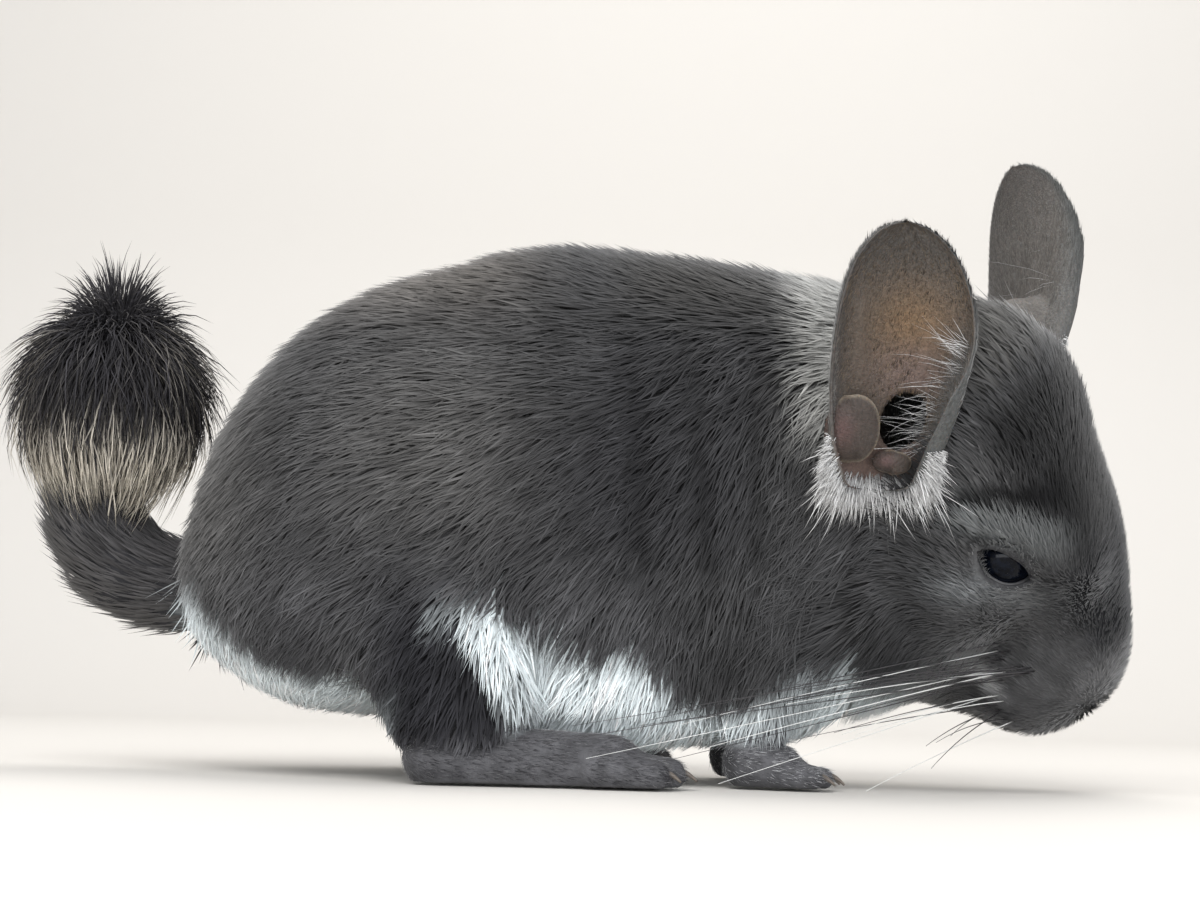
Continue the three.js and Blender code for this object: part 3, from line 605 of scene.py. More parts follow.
def markings(P):
    """Linear colour of the coat at places on it."""
    x, y, z = P.T
    ay = np.abs(y)
    h = head_local(P)
    col = np.tile(linear((64, 64, 65)), (len(P), 1))
    col = blend(col, linear((90, 89, 88)), np.exp(-(((x + 38) / 24) ** 2 + ((z - 74) / 26) ** 2)) * 0.85)            # paler side of the loin
    col = blend(col, linear((98, 94, 90)), band(z, 92, 122) * band(-x, 5, 35) * 0.9)                                  # brownish back
    col = blend(col, linear((56, 55, 54)), band(z, 92, 114) * band(x, -5, 12) * (1 - band(x, 34, 44)))
    col = blend(col, linear((90, 89, 88)), band(-x, 66, 90) * 0.85)                                                   # rump
    col = blend(col, linear((80, 80, 82)), (1 - band(z, 30, 58)) * band(-x, -26, -6) * 0.7)                           # lower flank
    col = blend(col, linear((52, 52, 54)), band(x, -6, 4) * (1 - band(x, 28, 38)) * band(z, 40, 56) * (1 - band(z, 92, 108)) * 0.8)   # darker shoulder
    col = blend(col, linear((150, 150, 147)), band(x, 36, 46) * (1 - band(x, 56, 66)) * band(z, 66, 84))              # pale neck behind the ear
    col = blend(col, linear((68, 68, 69)), band(x, 30, 44) * (1 - band(x, 60, 70)) * (1 - band(z, 60, 76)) * 0.7)
    col = blend(col, linear((48, 48, 50)), np.exp(-(((x + 2) / 15) ** 2 + ((z - 68) / 24) ** 2)) * 0.75)              # darker side behind the shoulder
    # painted shade: the coat darkened along three slanting furrows over the shoulder and side
    furrow_shade = np.exp(-((((x - 8 + 0.10 * (z - 60)) / 2.4)) ** 2)) + np.exp(-((((x - 22 + 0.12 * (z - 60)) / 2.2)) ** 2)) + 0.8 * np.exp(-((((x - 34 + 0.05 * (z - 60)) / 2.0)) ** 2))
    col = col * (1 - 0.42 * furrow_shade * band(z, 34, 50) * (1 - band(z, 92, 108)))[:, None]
    col = col * 0.72
    # dark thigh in front of a lighter rump; its front edge falls towards the toes
    front_line = -30.0 + (34 - z) * 0.55
    thigh = band(front_line - x, -1.5, 2.5) * band(x, -54, -40) * (1 - band(z, 26, 52)) * band(ay, 22, 28)
    # white belly, its edge falling from the knee to the chest
    edge = np.interp(x, [-84, -76, -68, -60, -50, -45, -40, -36, -31, -25, -13, -7.8, -1.3, 4, 10.5, 13.4, 18.5, 23.7, 31.7, 37, 45, 56, 68, 80],
                     [4, 10, 17, 20, 17, 14, 20, 36, 35, 32, 28.5, 25, 22.5, 24.5, 23.5, 19, 15.5, 14.5, 14, 17, 21, 24, 20, 8]) + 1.6 * wobble(P, 0.45)
    white = 1 - band(z, edge - 2.5, edge + 3.0)
    white = np.maximum(white, (1 - band(z, 30, 44)) * (1 - band(ay, 18, 26)) * (1 - band(x, 62, 80)) * (1 - 0.6 * band(x, 24, 34) * band(z, 14, 20) * band(ay, 10, 20)))
    white = white * (1 - thigh) * (1 - band(x, 76, 92))
    col = blend(col, linear((34, 34, 37)), 0.95 * thigh)
    white = white * (1 - 0.6 * band(x, 28, 38) * band(ay, 16, 26))
    col = blend(col, linear((196, 204, 206)), white)
    # head
    hd = band(x, 66, 80)
    face = np.tile(linear((78, 78, 79)), (len(P), 1))
    face = blend(face, linear((76, 75, 73)), (1 - band(h[:, 0], -42, -24)) * band(h[:, 2], 6, 18))       # crown between the ears
    face = blend(face, linear((38, 38, 39)), band(h[:, 0], -32, -18) * band(h[:, 2], 9, 18))             # forehead and bridge
    face = blend(face, linear((24, 25, 29)), band(h[:, 0], 4, 14) * band(h[:, 2], -2, 6))
    face = blend(face, linear((100, 100, 101)), band(h[:, 0], 26, 33) * band(h[:, 2], -9, -2))               # nose
    face = blend(face, linear((86, 86, 87)), band(h[:, 0], 10, 20) * (1 - band(h[:, 2], -12, -4)))
    face = blend(face, linear((70, 69, 68)), (1 - band(h[:, 2], -32, -26)) * band(h[:, 0], 2, 12))
    for s in (-1, 1):
        on = band(h[:, 1] * s, 6, 11)
        # lighter patch over the eye, from behind its corner to the bridge
        u = (h[:, 0] + 5.5) * 0.86 + (h[:, 2] - 6.5) * 0.51
        w_ = -(h[:, 0] + 5.5) * 0.51 + (h[:, 2] - 6.5) * 0.86
        brow = np.exp(-((u / 12.0) ** 4 + (w_ / 4.3) ** 4)) * on
        lid = np.exp(-(((w_ + 4.2) / 1.2) ** 2 + (u / 11) ** 4)) * on
        # lighter band under the eye
        u2 = (h[:, 0] - 1.0) * 0.80 + (h[:, 2] + 6.0) * 0.60
        w2 = -(h[:, 0] - 1.0) * 0.60 + (h[:, 2] + 6.0) * 0.80
        under = np.exp(-((u2 / 13.0) ** 4 + (w2 / 3.2) ** 2)) * on
        # painted shade in the folds: a dark line from under the ear over the brow to the bridge, and a dark spot in the
        # corner in front of the eye
        line = np.interp(h[:, 0], [-30, -22.6, -18.8, -15.2, -10.8, -4.1, 1.3], [-16, -10.8, -4.6, 1.8, 9.6, 15.9, 18.5])
        fold_shade = np.exp(-(((h[:, 2] - line) / 3.3) ** 2)) * on * band(h[:, 0], -31, -26) * (1 - band(h[:, 0], -6, 1))
        corner = np.exp(-(((h[:, 0] - 8.5) / 1.6) ** 2 + ((h[:, 2] - 5.5) / 3.2) ** 2)) * on
        lip = np.exp(-(((h[:, 0] - 18.5) / 4.5) ** 2 + ((h[:, 2] + 19.2) / 1.9) ** 2)) * on
        dark_lip = np.exp(-(((h[:, 0] - 29) / 9) ** 4 + ((h[:, 2] + 21.5) / 4.5) ** 2)) * on
        face = blend(face, linear((119, 122, 123)), np.clip(brow, 0, 1) * 0.92)
        face = blend(face, linear((132, 135, 137)), np.clip(under, 0, 1) * 0.85)
        # painted shade of the folds and the eye's front corner, with a darker line along the upper lid
        face = blend(face, linear((12, 12, 14)), np.clip(0.9 * fold_shade + 0.5 * lid + 0.6 * corner, 0, 1))
        face = blend(face, linear((46, 45, 48)), 0.55 * np.clip(dark_lip, 0, 1))
        face = blend(face, linear((205, 206, 206)), np.clip(1.1 * lip, 0, 1))
    face = face * 0.80
    col = col * (1 - hd[:, None]) + face * hd[:, None]
    # feet
    foot = 1 - band(z, 11 - 6 * (1 - band(x, -24, -12)), 16 - 7 * (1 - band(x, -24, -12)))
    foot = foot * (band(ay, 27, 32) * (x < 30) + (x >= 27) * (x < 60) * band(ay, 12, 15) * (1 - band(ay, 33, 36)) * (1 - band(z, 8, 12)))
    col = blend(col, linear((80, 80, 83)), np.clip(foot, 0, 1))
    return col * (1 + 0.15 * wobble(P, 0.16, 1.3) + 0.15 * wobble(P, 0.42, 0.4) + 0.08 * wobble(P, 1.1, 2.4))[:, None]


# ------------------------------------------------------------------ lie of the coat
def lie_anchors():
    body = [
        ((60, -25, 112), (-0.85, 0, -0.2)), ((30, -20, 118), (-0.95, 0, 0.0)), ((30, -36, 95), (-0.6, 0, -0.65)), ((42, -38, 78), (-0.35, 0, -0.9)),
        ((40, -35, 50), (-0.3, 0, -0.95)), ((48, -20, 24), (-0.15, 0, -1)), ((0, -20, 122), (-1, 0, 0.15)), ((0, -42, 95), (-0.92, 0, -0.25)),
        ((0, -46, 65), (-0.7, 0, -0.65)), ((0, -40, 30), (-0.35, 0, -0.95)), ((-40, -22, 116), (-1, 0, 0)), ((-40, -45, 85), (-0.95, 0, -0.3)),
        ((-40, -50, 55), (-0.78, 0, -0.6)), ((-38, -50, 25), (-0.55, 0, -0.8)), ((-75, -22, 92), (-0.8, 0, -0.6)), ((-82, -35, 60), (-0.6, 0.2, -0.8)),
        ((-92, -8, 40), (-0.35, 0, -0.9)), ((-78, -20, 20), (-0.2, 0, -0.9)), ((0, -5, 8), (-1, 0, 0)), ((-20, -42, 15), (-0.2, 0, -1)),
        ((20, -32, 20), (-0.15, 0, -1)), ((62, -36, 60), (-0.6, 0, -0.7)), ((66, -30, 35), (-0.7, 0, -0.7)), ((70, -10, 14), (-0.9, 0, -0.2)),
        ((40, -24, 10), (0.2, 0, -1)),
    ]
    head = [
        ((36, -2, 0), (-1, 0, 0.3)), ((20, -4, 13), (-1, 0, 0.15)), ((4, -5, 21), (-1, -0.05, 0.0)), ((-18, -8, 26), (-1, -0.1, -0.2)),
        ((24, -13, -4), (-1, -0.2, -0.1)), ((2, -25, -12), (-1, 0, -0.3)), ((4, -20, -5), (-1, 0, -0.15)), ((0, -18, 10), (-0.85, -0.2, 0.45)),
        ((-12, -22, -26), (-1, 0, -0.35)), ((12, 0, -34), (-1, 0, -0.1)), ((28, -8, -15), (-0.7, -0.6, -0.35)), ((-18, -26, -4), (-1, 0, -0.1)),
        ((18, -13, -20), (-0.9, -0.3, -0.4)),
    ]
    at, to = [], []
    for p, v in body:
        for s in (1, -1):
            at.append((p[0], s * p[1], p[2]))
            to.append((v[0], s * v[1], v[2]))
    for p, v in head:
        for s in (1, -1):
            at.append(head_point((p[0], s * p[1], p[2])))
            to.append(head_dir((v[0], s * v[1], v[2])))
    to = np.array(to, float)
    return np.array(at, float), to / np.linalg.norm(to, axis=1, keepdims=True)


LIE_AT, LIE_TO = lie_anchors()


def lie(P, N):
    """Unit direction of the hair along the skin at places P with outward normals N."""
    out = np.zeros_like(P)
    for a, b in zip(np.array_split(np.arange(len(P)), max(1, len(P) // 40000)), range(10 ** 6)):
        d2 = ((P[a][:, None] - LIE_AT[None]) ** 2).sum(-1) + 9.0
        w = d2 ** -2.0
        out[a] = (w @ LIE_TO) / w.sum(1, keepdims=True)
    out -= N * (out * N).sum(1, keepdims=True)
    return out / (np.linalg.norm(out, axis=1, keepdims=True) + 1e-9)


# ------------------------------------------------------------------ tufts
def unwrap(P, in_head):
    """Places on an unwrap of the skin: turn about the long axis against the place along it."""
    if in_head:
        q = head_local(P)
        u, v = q[:, 0], np.arctan2(q[:, 1], q[:, 2])
    else:
        u, v = P[:, 0], np.arctan2(P[:, 1], P[:, 2] - 62)
    u = (u - u.min()) / (np.ptp(u) + 1e-9)
    return np.stack([u, (v + np.pi) / (2 * np.pi)], 1) * 0.99 + 0.003


def tuft_mesh(points, width, across, thick=0.55):
    """Three-sided tapered tufts. points: n x k x 3 from root to tip; width: n x (k-1); across: n x 3."""
    n, k = points.shape[:2]
    rings = []
    for i in range(k - 1):
        t = points[:, i + 1] - points[:, max(i - 1, 0)]
        t /= np.linalg.norm(t, axis=1, keepdims=True) + 1e-9
        b = across - t * (across * t).sum(1, keepdims=True)
        b /= np.linalg.norm(b, axis=1, keepdims=True) + 1e-9
        u = np.cross(t, b)
        w = width[:, i, None]
        rings += [points[:, i] - 0.5 * w * b, points[:, i] + 0.5 * w * b, points[:, i] + thick * w * u]
    V = np.stack(rings + [points[:, -1]], 1)
    m = V.shape[1]
    quads, tris = [], [[2, 1, 0]]
    for i in range(k - 2):
        for j in range(3):
            a, b = 3 * i + j, 3 * i + (j + 1) % 3
            quads.append([a, b, b + 3, a + 3])
    for j in range(3):
        a, b = 3 * (k - 2) + j, 3 * (k - 2) + (j + 1) % 3
        tris.append([a, b, m - 1])
    base = (np.arange(n) * m)[:, None, None]
    F = [(np.array(tris)[None] + base).reshape(-1, 3)]
    if quads:
        F.insert(0, (np.array(quads)[None] + base).reshape(-1, 4))
    return V, F


def tuft_piece(name, points, width, across, tones, uv, material, replaces=(), soft=0.0):
    """tones: n x k x 3 from root to tip."""
    V, F = tuft_mesh(points, width, across)
    n, m = V.shape[:2]
    k = points.shape[1]
    along = np.concatenate([np.repeat(np.arange(k - 1), 3), [k - 1]])
    side = np.concatenate([np.tile([0, 1, 0.5], k - 1), [0.5]])
    col = tones[:, along]
    u = uv[:, None] + 0.003 * np.stack([side, along / (k - 1)], 1)[None] - 0.0015
    count = sum(len(f) * (f.shape[1] - 2) for f in F)
    note(name, n, "tufts", count, "triangles")
    assert count < 200000, name
    ob = build(name, V.reshape(-1, 3), F, material, col.reshape(-1, 3), np.clip(u, 0, 1).reshape(-1, 2), True, replaces)
    if soft:
        # each tuft takes most of its shading from the lie of the coat round it
        up = np.cross(points[:, -1] - points[:, 0], across)
        up /= np.linalg.norm(up, axis=1, keepdims=True) + 1e-9
        b = across / (np.linalg.norm(across, axis=1, keepdims=True) + 1e-9)
        ring = np.stack([up - soft * b, up + soft * b, up], 1)
        nrm = np.concatenate([np.tile(ring, (1, k - 1, 1)), up[:, None]], 1).reshape(-1, 3)
        nrm /= np.linalg.norm(nrm, axis=1, keepdims=True) + 1e-9
        ob.data.normals_split_custom_set_from_vertices(nrm.tolist())
    return ob


# ------------------------------------------------------------------ skin
STEP = 0.82
skin_grid = Grid(skin_field, (-128, -58, -2.2), (132, 60, 132), STEP)
note("skin grid", skin_grid.n)
SV, SF = surface(skin_grid, skin_field, 2)
note("skin", len(SV), "vertices", len(SF), "faces")
# the coat's outline on a coarser grid, for growing the tufts up to it
out_grid = Grid(body_field, (-112, -60, -4), (134, 60, 134), 1.3, width=9.0)
note("outline grid", out_grid.n)


def skin_tone(P):
    c = markings(P) * 0.9
    for side in ("right", "left"):
        A, e = EYES[side]
        q = (P - e) @ A.T
        rim = np.exp(-((lid_gap(q) - 0.3) / 0.8) ** 2) * (q[:, 2] > 0) * (np.linalg.norm(q, axis=1) < 10)
        c = blend(c, linear((46, 46, 48)), np.clip(rim, 0, 1))
    h = head_local(P)
    # painted shade: the nostrils darkened to near black
    for s in (-1, 1):
        n = np.sqrt(((h[:, 0] - 35) / 3.5) ** 2 + ((h[:, 1] - s * 3.2) / 1.2) ** 2 + ((h[:, 2] + 6.2) / 1.8) ** 2)
        c = blend(c, linear((26, 24, 26)), np.exp(-(n ** 2)))
    tail = band(-P[:, 0], 92, 99)
    return blend(c, linear((40, 40, 43)), tail)


build("skin", SV, SF, MAT_SKIN, skin_tone(SV), None, True,
      ("trunk", "neck", "head", "muzzle", "hindleg_right", "hindleg_left", "hindfoot_right", "hindfoot_left", "foreleg_right", "foreleg_left", "forepaw_right", "forepaw_left", "tail_base", "tail_middle"))

# ------------------------------------------------------------------ roots on the skin
tri = np.concatenate([SF[:, [0, 1, 2]], SF[:, [0, 2, 3]]])
cross = np.cross(SV[tri[:, 1]] - SV[tri[:, 0]], SV[tri[:, 2]] - SV[tri[:, 0]])
area = np.linalg.norm(cross, axis=1) / 2
centre = SV[tri].mean(1)


def roots(density):
    """Random places on the skin, density(P) to the square millimetre."""
    want = area * density(centre)
    n = rng.poisson(want)
    t = np.repeat(np.arange(len(tri)), n)
    a, b = rng.random(len(t)), rng.random(len(t))
    flip = a + b > 1
    a[flip], b[flip] = 1 - a[flip], 1 - b[flip]
    p = SV[tri[t]]
    return p[:, 0] + a[:, None] * (p[:, 1] - p[:, 0]) + b[:, None] * (p[:, 2] - p[:, 0])


def near_eye(P, grow):
    hit = np.zeros(len(P), bool)
    for side in ("right", "left"):
        A, c = EYES[side]
        q = (P - c) @ A.T
        hit |= (q[:, 2] > 0) & (lid_gap(q) < grow) & (np.abs(q[:, 0]) < LID_HALF + grow) & (np.linalg.norm(q, axis=1) < 13)
    return hit


def in_ear(P):
    """Places inside the bowl of an ear, where no coat grows."""
    hit = np.zeros(len(P), bool)
    for e in EARS.values():
        foot, along, o, front, length = ear_frame(e)
        q = (P - foot) @ np.stack([front, along, o]).T
        hit |= (np.abs(q[:, 0]) < 11.5) & (q[:, 1] > -3) & (q[:, 1] < 34) & (q[:, 2] > -1.5)
    return hit | (canal_field(P, 1.5) < 0)


def coat_zone(P):
    """0 tail, 1 body, 2 face, 3 feet."""
    h = head_local(P)
    zone = np.ones(len(P), int)
    zone[(P[:, 0] > 60) & (h[:, 0] > -24)] = 2
    foot = feet_field(P) < 0.9
    zone[foot & (body_field(P) > -3.5)] = 3
    zone[(tail_field(P) < 0.5) & (P[:, 0] < -93)] = 0
    return zone


scale = 1.0


def density(P):
    h = head_local(P)
    d = np.full(len(P), 1.15)
    face = (P[:, 0] > 62)
    d[face] = 1.4 + 2.0 * band(h[face, 0], -30, 4)
    d[P[:, 2] < 1.0] = 0.0
    return d * scale


R = roots(density)
N = skin_grid.slope(R, 1.2)
zone = coat_zone(R)
keep = (zone == 1) | (zone == 2)
keep &= ~near_eye(R, 1.1) & ~in_ear(R)
R, N, zone = R[keep], N[keep], zone[keep]
note("roots", len(R), "body", (zone == 1).sum(), "face", (zone == 2).sum())


def grow(R, N, T, length, lift, sink, tip_at, jitter, curl=0.0):
    """Root, middle and tip of tufts that rise to the coat's outline."""
    n = len(R)
    B = np.cross(N, T)
    sway = jitter * rng.normal(size=(n, 1)) + 0.10 * wobble(R, 0.55, 2.0)[:, None] + 0.12 * wobble(R, 0.22, 5.0)[:, None]
    D = T + B * sway
    D /= np.linalg.norm(D, axis=1, keepdims=True)
    c, s = np.cos(lift)[:, None], np.sin(lift)[:, None]
    L = length[:, None]
    root = R - N * sink
    mid = R + L * 0.5 * (D * c + N * s)
    tip = R + L * (D * c + N * s * 0.9) + B * (curl * rng.normal(size=(n, 1)) * L)
    depth = -out_grid.at(R)
    for p, share in ((mid, 0.5), (tip, 0.0)):
        g = out_grid.slope(p, 1.5)
        goal = -depth * share + tip_at * (1 if share == 0 else 0.3)
        p -= g * (np.clip(out_grid.at(p) - goal, -7, 7))[:, None]
    return np.stack([root, mid, tip], 1), B


def tones_for(R, tips, n_along=3, light=0.06, light_gain=1.4):
    """Root dark, body of the hair in the marking's tone, with some pale tips."""
    base = markings(tips)
    n = len(R)
    k = np.exp(rng.normal(0, 0.10, n)) * (1 + 0.12 * wobble(R, 0.9, 4.0) + 0.08 * wobble(R, 2.0, 1.0))
    k = np.where(rng.random(n) < light, k * light_gain, k)
    root = base * (0.95 * k)[:, None]
    mid = base * (1.2 * k)[:, None]
    tip = base * (1.38 * k)[:, None]
    return np.clip(np.stack([root, mid, tip], 1), 0, 0.9)


body = zone == 1
Rb, Nb = R[body], N[body]
Tb = lie(Rb, Nb)
n = len(Rb)
low = 1 - band(Rb[:, 2], 12, 40)
length = (15.5 - 4.5 * low) * np.exp(rng.normal(0, 0.16, n))
lift = np.radians(17) + 0.08 * rng.normal(size=n)
lump = 0.7 * wobble(Rb, 0.30, 3.0) + 0.5 * wobble(Rb, 0.8, 5.0)
tip_at = -0.15 + 0.5 * rng.normal(size=n) + 0.6 * lump
pts, across = grow(Rb, Nb, Tb, length, lift, 0.7, tip_at, 0.21)
pts[:, :, 2] = np.maximum(pts[:, :, 2], 0.3)
w = 0.56 * np.exp(rng.normal(0, 0.2, n))
width = np.stack([w * 0.8, w], 1)
tones = tones_for(Rb, 0.35 * pts[:, 1] + 0.65 * pts[:, 2])
order = np.argsort(Rb[:, 0], kind="stable")
pieces = max(1, math.ceil(n / 19500))
for i, part in enumerate(np.array_split(order, pieces)):
    tuft_piece("coat_body_%d" % (i + 1), pts[part], width[part], across[part], tones[part], unwrap(Rb[part], False), MAT_COAT, (), 0.5)

face = zone == 2
Rf, Nf = R[face], N[face]
Tf = lie(Rf, Nf)
n = len(Rf)
hf = head_local(Rf)
front = band(hf[:, 0], -22, 22)
length = (8.5 - 5.2 * front) * np.exp(rng.normal(0, 0.14, n))
length[near_eye(Rf, 4.0)] *= 0.7
length[near_eye(Rf, 2.2)] *= 0.55
lift = np.radians(20) + 0.12 * rng.normal(size=n)
tip_at = (0.25 * (1 - front) + 0.12) * rng.normal(size=n) + 0.15 * wobble(Rf, 0.9, 1.0)
pts, across = grow(Rf, Nf, Tf, length, lift, 0.4, tip_at, 0.14)
w = (0.48 - 0.18 * front) * np.exp(rng.normal(0, 0.2, n))
width = np.stack([w * 0.8, w], 1)
tones = tones_for(Rf, pts[:, 1], light=0.06, light_gain=1.4)
order = np.argsort(hf[:, 0], kind="stable")
longer, short = order[front[order] <= 0.3], order[front[order] > 0.3]
pieces = max(1, math.ceil(len(longer) / 19500))
for i, part in enumerate(np.array_split(longer, pieces)):
    tuft_piece("coat_face_%d" % (i + 1), pts[part], width[part], across[part], tones[part], unwrap(Rf[part], True), MAT_FACE, (), 0.5)
# the short fur of the front of the face is straight
for i, part in enumerate(np.array_split(short, max(1, math.ceil(len(short) / 48000)))):
    tuft_piece("coat_muzzle_%d" % (i + 1), pts[part][:, [0, 2]], width[part][:, 1:], across[part], tones[part][:, [0, 2]], unwrap(Rf[part], True), MAT_FACE, (), 0.5)

# short fur of the feet, lying towards the toes
def foot_coat():
    P_ = roots(lambda Q: np.where((feet_field(Q) < 1.0) & (Q[:, 2] > 0.7) & (Q[:, 2] < 15), 5.0, 0.0) * scale)
    N_ = skin_grid.slope(P_, 1.0)
    P_, N_ = P_[N_[:, 2] > -0.6], N_[N_[:, 2] > -0.6]
    n = len(P_)
    T_ = np.array([1.0, 0, -0.12]) + 0.25 * rng.normal(size=(n, 3)) * (1, 1, 0.5)
    T_ -= N_ * (T_ * N_).sum(1, keepdims=True)
    T_ /= np.linalg.norm(T_, axis=1, keepdims=True)
    hind = P_[:, 0] < 28
    L = np.where(hind, 2.1, 1.8) * np.exp(rng.normal(0, 0.25, n))
    lift = 0.26 + 0.10 * rng.normal(size=n)
    root = P_ - 0.2 * N_
    mid = root + (T_ * np.cos(lift)[:, None] + N_ * np.sin(lift)[:, None]) * (L * 0.5)[:, None]
    tip = root + (T_ * np.cos(lift * 0.6)[:, None] + N_ * np.sin(lift * 0.6)[:, None]) * L[:, None]
    pts_ = np.stack([root, mid, tip], 1)
    pts_[:, :, 2] = np.maximum(pts_[:, :, 2], 0.25)
    w = 0.17 * np.exp(rng.normal(0, 0.2, n))
    base = np.where(rng.random(n)[:, None] < 0.28, linear((106, 106, 108)), linear((58, 57, 60))) * np.exp(rng.normal(0, 0.2, n))[:, None]
    fingers = ~hind & (np.abs(P_[:, 1]) < 34)
    base = np.where((fingers & (rng.random(n) < 0.4))[:, None], linear((165, 166, 168)), base)
    tone_ = np.stack([base * 0.5, base * 0.95, base * 1.15], 1)
    order_ = np.argsort(P_[:, 0], kind="stable")
    for k, part_ in enumerate(np.array_split(order_, max(1, math.ceil(n / 48000)))):
        tuft_piece("foot_fur_%d" % (k + 1), pts_[part_][:, [0, 2]], w[part_][:, None], np.cross(N_, T_)[part_], tone_[part_][:, [0, 2]], unwrap(P_[part_], False), MAT_FACE, (), 0.5)


foot_coat()
claws, claw_tones = [], []
for masses in (HINDFOOT_R[1:], mirrored(HINDFOOT_R[1:]), FOREPAW_R[1:], mirrored(FOREPAW_R[1:])):
    for m in masses:
        a, b = np.array(m[1], float), np.array(m[2], float)
        d = (b - a) / np.linalg.norm(b - a)
        t = np.linspace(0, 1, 7)[:, None]
        start_ = b + d * (m[4] - 1.4) + np.array([0, 0, 0.8])
        line = start_ + d * 3.4 * t - np.array([0, 0, 1.6]) * t ** 2
        line[:, 2] = np.maximum(line[:, 2], 0.9)
        claws.append(tube(line, 0.78 * (1 - 0.72 * t[:, 0]), 8))
        claw_tones.append(np.tile(linear((96, 88, 80)), (len(claws[-1][0]), 1)))
V, F = joined(claws)
build("claws", V, F, MAT_CLAW, np.concatenate(claw_tones), None, True)
note("coat done")

# ------------------------------------------------------------------ eyes
for side in ("right", "left"):
    A, c = EYES[side]
    nu, nv = 64, 40
    th = np.linspace(0, np.pi, nv + 1)
    ph = np.arange(nu) * 2 * np.pi / nu
    ring = np.stack([np.outer(np.sin(th[1:-1]), np.cos(ph)), np.outer(np.sin(th[1:-1]), np.sin(ph)), np.outer(np.cos(th[1:-1]), np.ones(nu))], -1)
    bulge = 1 + 0.05 * np.exp(-((1 - ring[..., 2]) / 0.12) ** 2)
    V = (ring * bulge[..., None]).reshape(-1, 3)
    V = np.concatenate([V, [[0, 0, 1.05], [0, 0, -1]]]) * (EYE_RADIUS - 0.05)
    i, j = np.meshgrid(np.arange(nv - 2), np.arange(nu), indexing="ij")
    a, b = i * nu + j, i * nu + (j + 1) % nu
    F = np.stack([a, a + nu, b + nu, b], -1).reshape(-1, 4)
    top, bottom = (nv - 1) * nu, (nv - 1) * nu + 1
    jj = np.arange(nu)
    caps = np.concatenate([np.stack([np.full(nu, top), jj, (jj + 1) % nu], 1), np.stack([np.full(nu, bottom), (nv - 2) * nu + (jj + 1) % nu, (nv - 2) * nu + jj], 1)])
    build("eyeball_" + side, c + V @ A, [F, caps], MAT_EYE, None, None, True, ("eye_" + side,))
    # the bare rim of the lids
    u = np.concatenate([np.linspace(-LID_HALF, LID_HALF, 40), np.linspace(LID_HALF, -LID_HALF, 40)[1:-1]])
    arch = 1 - np.abs(u / LID_HALF) ** 2.5
    v = np.concatenate([LID_UP * arch[:40], -LID_DOWN * arch[40:]])
    w_ = np.sqrt(np.maximum((EYE_RADIUS + 0.35) ** 2 - u ** 2 - v ** 2, 1.0))
    line = c + np.stack([u, v, w_], 1) @ A
    k = len(line)
    t = np.roll(line, -1, 0) - np.roll(line, 1, 0)
    t /= np.linalg.norm(t, axis=1, keepdims=True)
    nrm = (line - c) / np.linalg.norm(line - c, axis=1, keepdims=True)
    bi = np.cross(t, nrm)
    ang = np.arange(8) * np.pi / 4
    V = (line[:, None] + 0.42 * (np.cos(ang)[None, :, None] * nrm[:, None] + 1.15 * np.sin(ang)[None, :, None] * bi[:, None])).reshape(-1, 3)
    i, j = np.meshgrid(np.arange(k), np.arange(8), indexing="ij")
    a, b = i * 8 + j, i * 8 + (j + 1) % 8
    F = np.stack([a, b, (b + 8) % (8 * k), (a + 8) % (8 * k)], -1).reshape(-1, 4)
    build("eyelid_rim_" + side, V, F, MAT_LID, np.tile(linear((58, 58, 60)), (len(V), 1)), None, True)

